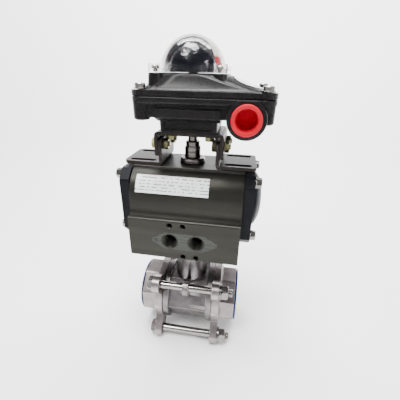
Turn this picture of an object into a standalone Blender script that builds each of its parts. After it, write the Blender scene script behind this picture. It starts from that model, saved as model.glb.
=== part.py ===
"""A pneumatically actuated three-piece ball valve with a limit switch box, as separate pieces.

Sizes are in millimetres and heights are above the surface that the valve stands on. X runs along
the pipe, Z up the stem, and the stem's axis is the origin. The valve is closed.
"""

import math

import bmesh
import bpy
from mathutils import Matrix, Vector

MM = 0.001
GAP = 0.3  # between pieces that touch
PULL_GAP = 0.6  # behind the flange of a plug or cap that is only pushed in
WAY_PAST = 1.0  # how far a cutter runs past the face that it opens

# Valve
BORE_HEIGHT = 41.5
BALL_RADIUS = 21.5
FLOW_RADIUS = 13.0
CAVITY_RADIUS = 23.0
COLLAR_RADIUS = 34.0
BODY_HALF_LENGTH = 27.0
END_LENGTH = 51.3
END_FLANGE = 7.7
EAR_RADIUS = 9.3
BOLT_Y = 33.5
BOLT_Z = 32.2
BOLT_RADIUS = 4.0
BOLT_FLATS = 13.0
HUB_FLATS = 56.0
PORT_RADIUS = 20.0
PORT_DEPTH = 15.0
CAP_RADIUS = 28.2
NECK_RADIUS = 17.0
PAD_HALF = 25.0
PAD_TOP = 120.0
PAD_THICK = 10.0
PAD_HOLE = 17.7
STEM_RADIUS = 6.0

# Actuator
BODY_HALF = 50.0
BODY_BOTTOM = PAD_TOP + GAP
BLOCK_HALF = 47.0
BLOCK_TOP = 160.3
PISTON_HEIGHT = 167.3
WALL_HALF_WIDTH = 39.5
WALL_HALF_HEIGHT = 35.0
WALL_POWER = 2.5
BED_HALF = 22.5
BED_TOP = 200.9
PISTON_RADIUS = 28.0
CYLINDER_RADIUS = 28.5
PORT_PITCH = 24.0
PORT_HEIGHT = 139.3
AIR_PORT_RADIUS = 6.5
AIR_PORT_DEPTH = 14.0
TAP_RADIUS = 2.1
BED_HOLE_X = 40.0
FACE_HOLE_DROP = 16.0
COVER_SCREW = 26.0
COVER_OUT = 59.0
BOSS_OUT = 67.3
BOSS_RADIUS = 25.5

# Rack and pinion
TEETH = 16
MODULE = 1.5
PRESSURE_ANGLE = math.radians(20)
RACK_ADDENDUM = 1.2
BACKLASH = 0.4
GEAR_LOW = PISTON_HEIGHT - 10
GEAR_HIGH = PISTON_HEIGHT + 10

# Bracket
SHEET = 3.0
LEG_OUT = 30.0
FOOT_OUT = 59.3
BRACKET_HALF = 21.5
PLATE_TOP = 231.1
PLATE_HOLE_X = 17.0
PLATE_HOLE_Y = 12.0
LEG_BOLT_Y = 12.0
LEG_BOLT_HEIGHT = 219.1
SLOT_Y = 15.0
SLOT_IN = 34.0
SLOT_OUT = 55.0

# Switch box
BOX_LEFT = -41.5
BOX_RIGHT = 67.4
BOX_HALF = 40.8
BOX_BOTTOM = 244.7
SEAM = 259.8
RIM_TOP = 264.4
SEAT_TOP = 276.2
SEAT_HALF = 30.0
NECK_HALF_X = 22.0
NECK_HALF_Y = 24.0
ENTRY_X = 46.5
ENTRY_HEIGHT = 246.5
ENTRY_OUT = 45.0
ENTRY_RADIUS = 14.5
DOME_RADIUS = 27.2
DOME_CENTRE = 276.8
SHAFT_RADIUS = 4.15

PINION_TOP = BED_TOP + 14.5
PITCH_RADIUS = TEETH * MODULE / 2
LID_SCREWS = [(x, y) for x in (BOX_LEFT + 7.2, BOX_RIGHT - 7.2) for y in (-33.6, 33.6)]
BODY_BOLTS = [(y, BORE_HEIGHT + z) for y in (-BOLT_Y, BOLT_Y) for z in (-BOLT_Z, BOLT_Z)]
SIDES = {"left": -1, "right": 1}


def make_look(name, colour, metallic, roughness, alpha=1.0):
    material = bpy.data.materials.new(name)
    material.use_nodes = True
    shader = material.node_tree.nodes["Principled BSDF"]
    shader.inputs["Base Color"].default_value = (*colour, 1)
    shader.inputs["Metallic"].default_value = metallic
    shader.inputs["Roughness"].default_value = roughness
    shader.inputs["Alpha"].default_value = alpha
    material.diffuse_color = (*colour, alpha)
    return material


def clear_scene():
    for obj in list(bpy.data.objects):
        bpy.data.objects.remove(obj)


def make_collection(name):
    collection = bpy.data.collections.new(name)
    bpy.context.scene.collection.children.link(collection)
    return collection


def add(name, mesh, look=None):
    """A piece has a look of its own. Without one the mesh is a cutter or a shape to join."""
    obj = bpy.data.objects.new(name, mesh)
    if look is None:
        HELPERS.objects.link(obj)
        obj.hide_render = True
        obj.display_type = "WIRE"
    else:
        PIECES.objects.link(obj)
        mesh.materials.append(look.copy())
    return obj


def mesh_from(name, edit):
    mesh = bpy.data.meshes.new(name)
    edit.to_mesh(mesh)
    edit.free()
    return mesh


def box(name, low, high, look=None):
    edit = bmesh.new()
    bmesh.ops.create_cube(edit, size=1)
    low = Vector(low) * MM
    high = Vector(high) * MM
    bmesh.ops.scale(edit, vec=high - low, verts=edit.verts)
    bmesh.ops.translate(edit, vec=(low + high) / 2, verts=edit.verts)
    return add(name, mesh_from(name, edit), look)


def rod(name, start, end, radius, look=None, sides=24):
    """A cylinder from start to end."""
    start = Vector(start) * MM
    end = Vector(end) * MM
    edit = bmesh.new()
    bmesh.ops.create_cone(
        edit,
        cap_ends=True,
        segments=sides,
        radius1=radius * MM,
        radius2=radius * MM,
        depth=(end - start).length,
    )
    turn = (end - start).to_track_quat("Z", "Y").to_matrix().to_4x4()
    bmesh.ops.transform(edit, matrix=Matrix.Translation((start + end) / 2) @ turn, verts=edit.verts)
    mesh = mesh_from(name, edit)
    smooth(mesh)
    return add(name, mesh, look)


def smooth(mesh):
    mesh.shade_smooth()
    mesh.set_sharp_from_angle(angle=math.radians(35))


AXIS_TURN = {
    "X": Matrix.Rotation(math.radians(90), 4, "Y"),
    "Z": Matrix.Identity(4),
}


def signed_area(outline):
    """Positive for an outline that runs anticlockwise."""
    following = outline[1:] + outline[:1]
    return sum(a[0] * b[1] - b[0] * a[1] for a, b in zip(outline, following)) / 2


def turned(name, profile, centre, axis="Z", look=None, steps=28, ring=False):
    """A profile of (radius, height) spun about an axis through centre."""
    if signed_area(profile) > 0:
        profile = profile[::-1]
    edit = bmesh.new()
    points = [edit.verts.new((radius * MM, 0, height * MM)) for radius, height in profile]
    for first, second in zip(points, points[1:]):
        edit.edges.new((first, second))
    if ring:
        edit.edges.new((points[-1], points[0]))
    obj = add(name, mesh_from(name, edit), look)
    obj.matrix_world = Matrix.Translation(Vector(centre) * MM) @ AXIS_TURN[axis]
    screw = obj.modifiers.new("Turn", "SCREW")
    screw.steps = steps
    screw.render_steps = steps
    screw.use_merge_vertices = True
    screw.merge_threshold = 1e-5
    return obj


SLAB_AXES = {
    "X": Matrix(((0, 0, 1, 0), (1, 0, 0, 0), (0, 1, 0, 0), (0, 0, 0, 1))),
    "Y": Matrix(((1, 0, 0, 0), (0, 0, -1, 0), (0, 1, 0, 0), (0, 0, 0, 1))),
    "Z": Matrix.Identity(4),
}


def slab(name, outline, low, high, axis="Z", look=None):
    """A flat outline with thickness. It is drawn in the two axes that follow, in X, Y, Z order."""
    curve = bpy.data.curves.new(name, "CURVE")
    curve.dimensions = "2D"
    curve.fill_mode = "BOTH"
    curve.extrude = (high - low) / 2 * MM
    line = curve.splines.new("POLY")
    line.points.add(len(outline) - 1)
    for point, (across, along) in zip(line.points, outline):
        point.co = (across * MM, along * MM, 0, 1)
    line.use_cyclic_u = True
    carrier = bpy.data.objects.new(name + "_outline", curve)
    bpy.context.scene.collection.objects.link(carrier)
    graph = bpy.context.evaluated_depsgraph_get()
    mesh = bpy.data.meshes.new_from_object(carrier.evaluated_get(graph))
    bpy.data.objects.remove(carrier)
    edit = bmesh.new()
    edit.from_mesh(mesh)
    bmesh.ops.remove_doubles(edit, verts=edit.verts, dist=1e-6)
    bmesh.ops.dissolve_limit(edit, angle_limit=0.01, verts=edit.verts, edges=edit.edges)
    bmesh.ops.recalc_face_normals(edit, faces=edit.faces)
    if edit.calc_volume(signed=True) < 0:
        bmesh.ops.reverse_faces(edit, faces=edit.faces)
    bmesh.ops.transform(edit, matrix=SLAB_AXES[axis], verts=edit.verts)
    middle = Vector([(low + high) / 2 * MM if axis == name_of else 0 for name_of in "XYZ"])
    bmesh.ops.translate(edit, vec=middle, verts=edit.verts)
    edit.to_mesh(mesh)
    edit.free()
    smooth(mesh)
    return add(name, mesh, look)


def loft(name, sections, look=None):
    """A closed solid through loops of points that all have the same count, lowest first."""
    edit = bmesh.new()
    loops = [[edit.verts.new(Vector(point) * MM) for point in section] for section in sections]
    for lower, upper in zip(loops, loops[1:]):
        for i in range(len(lower)):
            j = (i + 1) % len(lower)
            edit.faces.new((lower[i], lower[j], upper[j], upper[i]))
    edit.faces.new(list(reversed(loops[0])))
    edit.faces.new(loops[-1])
    bmesh.ops.recalc_face_normals(edit, faces=edit.faces)
    return add(name, mesh_from(name, edit), look)


def boolean(piece, operation, tools):
    for tool in tools:
        step = piece.modifiers.new(tool.name, "BOOLEAN")
        step.operation = operation
        step.object = tool
    return piece


def cut(piece, *tools):
    return boolean(piece, "DIFFERENCE", tools)


def join(piece, *tools):
    return boolean(piece, "UNION", tools)


def polygon(sides, radius, centre=(0, 0), turn=0.0):
    """Corners of a regular polygon. turn is the first corner's angle in degrees."""
    angles = [math.radians(turn + 360 * i / sides) for i in range(sides)]
    return [(centre[0] + radius * math.cos(a), centre[1] + radius * math.sin(a)) for a in angles]


def hexagon(flats, centre, turn=0.0):
    return polygon(6, flats / math.sqrt(3), centre, turn)


def rounded_rectangle(left, right, low, high, radius, steps=3):
    """Corner arcs joined by straight sides, anticlockwise from the lower right."""
    centres = [
        (right - radius, low + radius, -90),
        (right - radius, high - radius, 0),
        (left + radius, high - radius, 90),
        (left + radius, low + radius, 180),
    ]
    points = []
    for across, along, first in centres:
        for i in range(steps + 1):
            angle = math.radians(first + 90 * i / steps)
            points.append((across + radius * math.cos(angle), along + radius * math.sin(angle)))
    return points


def stadium(start, end, radius, steps=5):
    """Two half rounds joined by straight sides."""
    heading = math.atan2(end[1] - start[1], end[0] - start[0])
    points = []
    for centre, first in ((end, -math.pi / 2), (start, math.pi / 2)):
        for i in range(steps + 1):
            angle = heading + first + math.pi * i / steps
            points.append((centre[0] + radius * math.cos(angle), centre[1] + radius * math.sin(angle)))
    return points


def eared_disc(radius, ears, ear_radius, centre):
    """A disc with four round ears on straight-sided arms, drawn about its centre."""
    reach = math.hypot(*ears)
    side = math.atan2(ear_radius, reach)
    foot = math.asin(ear_radius / radius)
    points = []
    for quarter in range(4):
        lean = math.atan2(ears[1], ears[0])
        heading = (lean, math.pi - lean, math.pi + lean, -lean)[quarter]
        following = (math.pi - lean, math.pi + lean, 2 * math.pi - lean, lean)[quarter]
        for i in range(7):
            off = side * (i / 3 - 1)
            across = reach * math.sin(off)
            distance = reach * math.cos(off) + math.sqrt(max(ear_radius**2 - across**2, 0))
            points.append((distance, heading + off))
        for i in range(5):
            start = heading + foot
            points.append((radius, start + (following - foot - start) * i / 4))
    return [(centre[0] + r * math.cos(a), centre[1] + r * math.sin(a)) for r, a in points]


def level(outline, height):
    return [(across, along, height) for across, along in outline]


# ---------------------------------------------------------------- valve


def make_valve_body():
    middle = 20.5
    hexagon_outline = polygon(6, COLLAR_RADIUS - 1, (0, BORE_HEIGHT))
    body = slab("valve_body", hexagon_outline, -middle - 1, middle + 1, "X", STAINLESS)
    for side, sign in SIDES.items():
        inner = (sign * middle, 0, BORE_HEIGHT)
        outer = (sign * BODY_HALF_LENGTH, 0, BORE_HEIGHT)
        join(body, rod("collar_" + side, inner, outer, COLLAR_RADIUS, sides=32))
    neck = rod("neck", (0, 0, BORE_HEIGHT + 10), (0, 0, PAD_TOP - 3), NECK_RADIUS)
    pad_outline = rounded_rectangle(-PAD_HALF, PAD_HALF, -PAD_HALF, PAD_HALF, 7)
    pad = slab("pad", pad_outline, PAD_TOP - PAD_THICK, PAD_TOP)
    join(body, neck, pad)
    for y in (-BOLT_Y, BOLT_Y):
        bolt = (y, BORE_HEIGHT + BOLT_Z)
        root = (y * 0.55, BORE_HEIGHT + BOLT_Z * 0.62)
        join(body, slab("lug", stadium(root, bolt, 8.5, 6), -2.75, 2.75, "X"))
        start = (-5, y, BORE_HEIGHT + BOLT_Z)
        cut(body, rod("lug_hole", start, (5, y, BORE_HEIGHT + BOLT_Z), BOLT_RADIUS + GAP, sides=12))
    reach = BODY_HALF_LENGTH + 1
    cut(body, rod("cavity", (-reach, 0, BORE_HEIGHT), (reach, 0, BORE_HEIGHT), CAVITY_RADIUS, sides=28))
    top = (0, 0, PAD_TOP + WAY_PAST)
    cut(body, rod("stem_bore", (0, 0, BORE_HEIGHT), top, STEM_RADIUS + GAP, sides=18))
    cut(body, rod("gland_bore", (0, 0, PAD_TOP - 8.4), top, 10, sides=18))
    for x in (-PAD_HOLE, PAD_HOLE):
        for y in (-PAD_HOLE, PAD_HOLE):
            cut(body, rod("pad_hole", (x, y, PAD_TOP - 12), (x, y, PAD_TOP + 2), 3.3, sides=8))


def make_valve_end(side, sign):
    inner = BODY_HALF_LENGTH + GAP
    outer = inner + END_FLANGE

    def along(x, y=0.0, z=BORE_HEIGHT):
        return (sign * x, y, z)

    low, high = sorted((sign * inner, sign * outer))
    outline = eared_disc(COLLAR_RADIUS + 1, (BOLT_Y, BOLT_Z), EAR_RADIUS, (0, BORE_HEIGHT))
    end = slab("valve_end_" + side, outline, low, high, "X", STAINLESS)
    corner = HUB_FLATS / 2 / math.cos(math.radians(22.5))
    low, high = sorted((sign * (outer - 2), sign * END_LENGTH))
    hub = slab("hub", polygon(8, corner, (0, BORE_HEIGHT), 22.5), low, high, "X")
    register = rod("register", along(24), along(inner + 1), CAVITY_RADIUS - GAP, sides=28)
    join(end, hub, register)
    cut(end, rod("through", along(20), along(END_LENGTH + 3), 15, sides=24))
    cut(end, rod("port", along(END_LENGTH - PORT_DEPTH), along(END_LENGTH + 1), PORT_RADIUS, sides=24))
    for y, z in BODY_BOLTS:
        first = along(inner - WAY_PAST, y, z)
        last = along(outer + WAY_PAST, y, z)
        cut(end, rod("ear_hole", first, last, BOLT_RADIUS + GAP, sides=12))


def make_seat(side, sign):
    clear = BALL_RADIUS + GAP
    lip = [math.radians(angle) for angle in (54.5, 50, 45, 40.5)]
    profile = [(CAVITY_RADIUS - 0.5, clear * math.cos(lip[0]))]
    profile += [(clear * math.sin(angle), clear * math.cos(angle)) for angle in lip]
    profile += [(clear * math.sin(lip[-1]), 23.7), (CAVITY_RADIUS - 0.5, 23.7)]
    profile = [(radius, sign * height) for radius, height in profile]
    turned("seat_" + side, profile, (0, 0, BORE_HEIGHT), "X", PTFE, 28, ring=True)


def make_ball():
    angles = [math.radians(90 - 180 * i / 12) for i in range(13)]
    profile = [(BALL_RADIUS * math.cos(a), BALL_RADIUS * math.sin(a)) for a in angles]
    profile[0] = (0, BALL_RADIUS)
    profile[-1] = (0, -BALL_RADIUS)
    ball = turned("ball", profile, (0, 0, BORE_HEIGHT), "Z", POLISHED, 24)
    reach = BALL_RADIUS + 2
    cut(ball, rod("flow", (0, -reach, BORE_HEIGHT), (0, reach, BORE_HEIGHT), FLOW_RADIUS, sides=24))
    top = BORE_HEIGHT + BALL_RADIUS
    cut(ball, box("key_slot", (-reach, -3.3, top - 6.5), (reach, 3.3, top + 1)))


def make_stem():
    top = BORE_HEIGHT + BALL_RADIUS
    stem = rod("stem", (0, 0, top + 0.8), (0, 0, PAD_TOP + 0.6), STEM_RADIUS, POLISHED, 24)
    join(stem, box("tang", (-5.2, -2.9, top - 6), (5.2, 2.9, top + 2)))
    join(stem, box("square", (-4.2, -4.2, PAD_TOP - 1), (4.2, 4.2, PAD_TOP + 15)))


def make_gland():
    profile = [(STEM_RADIUS + GAP, 0), (STEM_RADIUS + GAP, 7.9), (9.7, 7.9), (9.7, 0)]
    turned("gland", profile, (0, 0, PAD_TOP - 8.1), "Z", BRASS, 20, ring=True)


def make_body_bolts():
    inner = BODY_HALF_LENGTH + GAP
    seat = inner + END_FLANGE + GAP
    for number, (y, z) in enumerate(BODY_BOLTS, 1):
        bolt = rod(f"body_bolt_{number}", (-seat - 1, y, z), (48.5, y, z), BOLT_RADIUS, POLISHED, 12)
        head = slab("bolt_head", hexagon(BOLT_FLATS, (y, z)), -seat - 5, -seat, "X")
        join(bolt, head)
        nut = slab(f"body_nut_{number}", hexagon(BOLT_FLATS, (y, z)), seat + 2, seat + 8.8, "X", POLISHED)
        cut(nut, rod("nut_hole", (seat, y, z), (seat + 12, y, z), BOLT_RADIUS + GAP, sides=12))


def make_port_cap(side, sign):
    face = END_LENGTH + PULL_GAP

    def along(x):
        return (sign * x, 0, BORE_HEIGHT)

    cap = rod("port_cap_" + side, along(face), along(face + 1.6), CAP_RADIUS, BLUE, 28)
    join(cap, rod("sleeve", along(face - 10), along(face + 0.8), PORT_RADIUS - 0.5, sides=24))
    cut(cap, rod("recess", along(face - 8.4), along(face + 3), PORT_RADIUS - 2.1, sides=24))


# ---------------------------------------------------------------- actuator


def curved_wall(steps=7):
    """The rounded upper wall's right half, from the ledge up to the top bed."""
    def height_at(y):
        share = 1 - (y / WALL_HALF_WIDTH) ** WALL_POWER
        return PISTON_HEIGHT + WALL_HALF_HEIGHT * share ** (1 / WALL_POWER)

    points = [(WALL_HALF_WIDTH, BLOCK_TOP + 1), (WALL_HALF_WIDTH, PISTON_HEIGHT)]
    for i in range(1, steps + 1):
        y = WALL_HALF_WIDTH - (WALL_HALF_WIDTH - BED_HALF) * (i / steps) ** 2
        points.append((y, height_at(y)))
    return points


def make_actuator_body():
    half = [(BLOCK_HALF, BODY_BOTTOM), (BLOCK_HALF, BLOCK_TOP)] + curved_wall() + [(BED_HALF, BED_TOP)]
    outline = half + [(-y, z) for y, z in reversed(half)]
    body = slab("actuator_body", outline, -BODY_HALF, BODY_HALF, "X", ANODISED)
    reach = BODY_HALF + 1
    start = (-reach, 0, PISTON_HEIGHT)
    cut(body, rod("cylinder", start, (reach, 0, PISTON_HEIGHT), CYLINDER_RADIUS, sides=32))
    cut(body, rod("lower_journal", (0, 0, BODY_BOTTOM - 1), (0, 0, PISTON_HEIGHT - 15), 14, sides=24))
    cut(body, rod("upper_journal", (0, 0, PISTON_HEIGHT + 15), (0, 0, BED_TOP + 1), 9 + GAP, sides=24))
    face = -BLOCK_HALF
    for x in (-PORT_PITCH / 2, PORT_PITCH / 2):
        mouth = (x, face - WAY_PAST, PORT_HEIGHT)
        cut(body, rod("air_port", mouth, (x, face + AIR_PORT_DEPTH, PORT_HEIGHT), AIR_PORT_RADIUS, sides=18))
    for x, side in ((-PORT_PITCH / 2, 1), (0, 1), (0, -1), (PORT_PITCH / 2, -1)):
        place = PORT_HEIGHT + side * FACE_HOLE_DROP
        cut(body, rod("face_hole", (x, face - WAY_PAST, place), (x, face + 8, place), TAP_RADIUS, sides=8))
    for x in (-BED_HOLE_X, BED_HOLE_X):
        for y in (-SLOT_Y, SLOT_Y):
            cut(body, rod("bed_hole", (x, y, BED_TOP - 6), (x, y, BED_TOP + WAY_PAST), TAP_RADIUS, sides=8))
    for x in (-PAD_HOLE, PAD_HOLE):
        for y in (-PAD_HOLE, PAD_HOLE):
            cut(body, rod("base_hole", (x, y, BODY_BOTTOM - 1), (x, y, BODY_BOTTOM + 12), 2.5, sides=8))
    for sign in SIDES.values():
        for y in (-COVER_SCREW, COVER_SCREW):
            for z in (PISTON_HEIGHT - COVER_SCREW, PISTON_HEIGHT + COVER_SCREW):
                cut(body, rod("cover_hole", (sign * 36, y, z), (sign * reach, y, z), 2, sides=8))


def make_end_cover(side, sign):
    inner = BODY_HALF + GAP
    low, high = sorted((sign * inner, sign * COVER_OUT))
    middle = PISTON_HEIGHT - 1
    cover_outline = [
        (36, middle - 24.5), (36, middle + 24.5), (27.5, middle + 33), (-27.5, middle + 33),
        (-36, middle + 24.5), (-36, middle - 24.5), (-27.5, middle - 33), (27.5, middle - 33),
    ]
    cover = slab("end_cover_" + side, cover_outline, low, high, "X", BLACK_CAST)
    rise = BOSS_OUT - COVER_OUT
    profile = [(0, rise), (9, rise - 0.3), (16, rise - 1.6), (22, rise - 4)]
    profile += [(BOSS_RADIUS, 0), (BOSS_RADIUS, -2), (0, -2)]
    profile = [(radius, sign * height) for radius, height in profile]
    boss = turned("boss", profile, (sign * COVER_OUT, 0, PISTON_HEIGHT), "X", steps=28)
    join(cover, boss)
    start = (sign * (inner - 1), 0, PISTON_HEIGHT)
    cut(cover, rod("pocket", start, (sign * 56, 0, PISTON_HEIGHT), CYLINDER_RADIUS - GAP, sides=28))
    for number, (y, z) in enumerate(((-1, -1), (-1, 1), (1, -1), (1, 1)), 1):
        y = y * COVER_SCREW
        z = PISTON_HEIGHT + z * COVER_SCREW
        cut(cover, rod("screw_hole", (sign * 40, y, z), (sign * 80, y, z), 2.1, sides=8))
        name = f"cover_screw_{side}_{number}"
        screw = rod(name, (sign * 38, y, z), (sign * (COVER_OUT + 1), y, z), 1.7, POLISHED, 8)
        low, high = sorted((sign * (COVER_OUT + GAP), sign * (COVER_OUT + 5.3)))
        join(screw, slab("screw_head", hexagon(8, (y, z), 30), low, high, "X"))


def rack_outline(first, last, back):
    """One rack seen from above: teeth towards the pinion's axis and a straight back."""
    pitch = math.pi * MODULE
    slope = math.tan(PRESSURE_ANGLE)
    half = (pitch - BACKLASH) / 4
    tip = half - RACK_ADDENDUM * slope
    dedendum = 1.25 * MODULE
    root = half + dedendum * slope
    points = [(first - pitch / 2 - 24, PITCH_RADIUS + dedendum)]
    count = round((last - first) / pitch)
    for i in range(count + 1):
        centre = first + i * pitch
        points.append((centre - root, PITCH_RADIUS + dedendum))
        points.append((centre - tip, PITCH_RADIUS - RACK_ADDENDUM))
        points.append((centre + tip, PITCH_RADIUS - RACK_ADDENDUM))
        points.append((centre + root, PITCH_RADIUS + dedendum))
    end = first + count * pitch + root
    points += [(end, back), (points[0][0], back)]
    return points


def make_piston(side, sign):
    """Both pistons are alike. The right one is the left one turned half round the stem."""
    def turn(points):
        return [(-sign * x, -sign * y) for x, y in points]

    disc = polygon(32, PISTON_RADIUS, (0, PISTON_HEIGHT), 4.5)
    low, high = sorted((sign * 28, sign * 36))
    piston = slab("piston_" + side, disc, low, high, "X", CAST_ALUMINIUM)
    pitch = math.pi * MODULE
    teeth = rack_outline(-1.5 * pitch, 4.5 * pitch, 22)
    rack = slab("rack", turn(teeth), PISTON_HEIGHT - 8.5, PISTON_HEIGHT + 8.5)
    join(piston, rack)
    piston.modifiers[rack.name].use_self = True  # the rack's root line is one straight edge


def pinion_outline():
    """Sixteen involute teeth, each thinned by its share of the backlash."""
    base = PITCH_RADIUS * math.cos(PRESSURE_ANGLE)
    root = PITCH_RADIUS - 1.25 * MODULE
    tip = PITCH_RADIUS + MODULE
    half_at_pitch = (math.pi * MODULE - BACKLASH) / 4 / PITCH_RADIUS

    def involute(radius):
        roll = math.sqrt(max((radius / base) ** 2 - 1, 0))
        return roll - math.atan(roll)

    def half_angle(radius):
        return half_at_pitch + involute(PITCH_RADIUS) - involute(max(radius, base))

    flank = [root, base, PITCH_RADIUS, tip]
    points = []
    for tooth in range(TEETH):
        centre = math.radians(90) + tooth * 2 * math.pi / TEETH
        rising = [(radius, centre - half_angle(radius)) for radius in flank]
        falling = [(radius, centre + half_angle(radius)) for radius in reversed(flank)]
        points += rising + falling
    return [(radius * math.cos(a), radius * math.sin(a)) for radius, a in points]


def make_pinion():
    pinion = slab("pinion", pinion_outline(), GEAR_LOW, GEAR_HIGH, "Z", POLISHED)
    lower = rod("lower_shaft", (0, 0, BODY_BOTTOM + GAP), (0, 0, BODY_BOTTOM + 18), 13.7, sides=24)
    waist = rod("waist", (0, 0, BODY_BOTTOM + 16), (0, 0, GEAR_LOW + 3), 9, sides=24)
    upper = rod("upper_shaft", (0, 0, GEAR_HIGH - 2), (0, 0, BED_TOP), 9, sides=24)
    top = rod("top_shaft", (0, 0, BED_TOP - 2), (0, 0, PINION_TOP), 7.2, sides=18)
    join(pinion, lower, waist, upper, top)
    cut(pinion, box("socket", (-4.6, -4.6, BODY_BOTTOM - 1), (4.6, 4.6, PAD_TOP + 16.5)))
    cut(pinion, box("top_slot", (-10, -2.2, PINION_TOP - 5), (10, 2.2, PINION_TOP + 2)))


def make_thrust_ring():
    profile = [(11.8, 4.2), (11.8, 0), (7.2 + GAP, 0), (7.2 + GAP, 4.2)]
    turned("thrust_ring", profile, (0, 0, BED_TOP + GAP), "Z", POLISHED, 24, ring=True)


# ---------------------------------------------------------------- bracket


def make_bracket():
    plate_bottom = PLATE_TOP - SHEET
    leg_in = LEG_OUT - SHEET
    leg_low = BED_TOP + GAP + SHEET + 5
    outline = [
        (-LEG_OUT, leg_low), (-LEG_OUT, PLATE_TOP - 1.5), (-LEG_OUT + 1.5, PLATE_TOP),
        (LEG_OUT - 1.5, PLATE_TOP), (LEG_OUT, PLATE_TOP - 1.5), (LEG_OUT, leg_low),
        (leg_in, leg_low), (leg_in, plate_bottom), (-leg_in, plate_bottom), (-leg_in, leg_low),
    ]
    top = slab("bracket_top", outline, -BRACKET_HALF, BRACKET_HALF, "Y", BRACKET_STEEL)
    cut(top, rod("shaft_hole", (0, 0, plate_bottom - 1), (0, 0, PLATE_TOP + 1), 9, sides=18))
    for x in (-PLATE_HOLE_X, PLATE_HOLE_X):
        for y in (-PLATE_HOLE_Y, PLATE_HOLE_Y):
            cut(top, rod("plate_hole", (x, y, plate_bottom - 1), (x, y, PLATE_TOP + 1), 2.6, sides=8))
    for y in (-LEG_BOLT_Y, LEG_BOLT_Y):
        start = (-LEG_OUT - 2, y, LEG_BOLT_HEIGHT)
        cut(top, rod("leg_hole", start, (LEG_OUT + 2, y, LEG_BOLT_HEIGHT), 2.8, sides=8))
    for side, sign in SIDES.items():
        make_foot(side, sign)
    number = 0
    for side, sign in SIDES.items():
        for y in (-LEG_BOLT_Y, LEG_BOLT_Y):
            number += 1
            make_leg_bolt(f"bracket_bolt_{number}", sign, y)


def make_foot(side, sign):
    out = LEG_OUT - SHEET - GAP
    low = BED_TOP + GAP
    outline = [
        (out - SHEET, low), (FOOT_OUT, low), (FOOT_OUT, low + SHEET), (out, low + SHEET),
        (out, PLATE_TOP - 6), (out - SHEET, PLATE_TOP - 6),
    ]
    outline = [(sign * x, z) for x, z in outline]
    foot = slab("bracket_foot_" + side, outline, -BRACKET_HALF, BRACKET_HALF, "Y", BRACKET_STEEL)
    for y in (-SLOT_Y, SLOT_Y):
        ends = (sign * SLOT_IN, y), (sign * (SLOT_OUT - 2.8), y)
        cut(foot, slab("foot_slot", stadium(*ends, 2.8, 6), low - 1, low + SHEET + 1))
        start = (sign * (out - 6), y * LEG_BOLT_Y / SLOT_Y, LEG_BOLT_HEIGHT)
        end = (sign * (out + 2), y * LEG_BOLT_Y / SLOT_Y, LEG_BOLT_HEIGHT)
        cut(foot, rod("leg_hole", start, end, 2.8, sides=8))


def make_leg_bolt(name, sign, y):
    """The left leg's bolts go in from outside and the right leg's from inside."""
    outside = LEG_OUT + GAP
    inside = LEG_OUT - 2 * SHEET - 2 * GAP
    thick = 4.0
    past = 5.5
    head = -outside if sign < 0 else inside
    tip = (-inside if sign < 0 else outside) + past
    start = (head - thick / 2, y, LEG_BOLT_HEIGHT)
    bolt = rod(name, start, (tip, y, LEG_BOLT_HEIGHT), 2.5, BRASS, 8)
    join(bolt, slab("leg_bolt_head", hexagon(9, (y, LEG_BOLT_HEIGHT), 30), head - thick, head, "X"))


# ---------------------------------------------------------------- switch box


def box_outline(inset, radius):
    return rounded_rectangle(
        BOX_LEFT + inset, BOX_RIGHT - inset, -BOX_HALF + inset, BOX_HALF - inset, radius
    )


def make_switch_base():
    base = slab("switch_base", box_outline(3, 7), BOX_BOTTOM, SEAM - 2, "Z", BLACK_CAST)
    join(base, slab("base_rim", box_outline(0, 9), SEAM - 4, SEAM))
    neck_outline = rounded_rectangle(-NECK_HALF_X, NECK_HALF_X, -NECK_HALF_Y, NECK_HALF_Y, 4)
    join(base, slab("base_neck", neck_outline, PLATE_TOP + GAP, BOX_BOTTOM + 2))
    shoulder = [
        (BOX_HALF - 0.6, BOX_BOTTOM + 7), (BOX_HALF - 0.6, BOX_BOTTOM), (BOX_HALF - 8, BOX_BOTTOM - 3),
        (BOX_HALF - 20, BOX_BOTTOM - 3), (BOX_HALF - 20, BOX_BOTTOM + 7),
    ]
    for sign in (1, -1):
        outline = [(sign * y, z) for y, z in shoulder]
        join(base, slab("shoulder", outline, -NECK_HALF_X, NECK_HALF_X, "X"))
    for x, y in LID_SCREWS:
        join(base, rod("post", (x, y, BOX_BOTTOM - 2), (x, y, SEAM - 1), 6.3, sides=14))
    entry = polygon(36, ENTRY_RADIUS, (ENTRY_X, ENTRY_HEIGHT))
    entry = [(x, min(z, SEAM - 0.6)) for x, z in entry]
    for sign in (1, -1):
        low, high = sorted((sign * 24, sign * ENTRY_OUT))
        join(base, slab("entry", entry, low, high, "Y"))
    cut(base, slab("inside", box_outline(6.5, 4), BOX_BOTTOM + 3.3, SEAM + 2))
    for x, y in LID_SCREWS:
        join(base, rod("lid_post", (x, y, BOX_BOTTOM + 1), (x, y, SEAM), 5.4, sides=12))
        cut(base, rod("lid_hole", (x, y, SEAM - 11), (x, y, SEAM + 1), 1.9, sides=8))
    for sign in (1, -1):
        start = (ENTRY_X, sign * (ENTRY_OUT + 1), ENTRY_HEIGHT)
        cut(base, rod("entry_bore", start, (ENTRY_X, sign * 26.5, ENTRY_HEIGHT), 9.9, sides=24))
    cut(base, rod("shaft_bore", (0, 0, PLATE_TOP - 2), (0, 0, SEAM), SHAFT_RADIUS + GAP, sides=14))
    for x in (-PLATE_HOLE_X, PLATE_HOLE_X):
        for y in (-PLATE_HOLE_Y, PLATE_HOLE_Y):
            cut(base, rod("foot_hole", (x, y, PLATE_TOP - 1), (x, y, PLATE_TOP + 9), TAP_RADIUS, sides=8))


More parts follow.
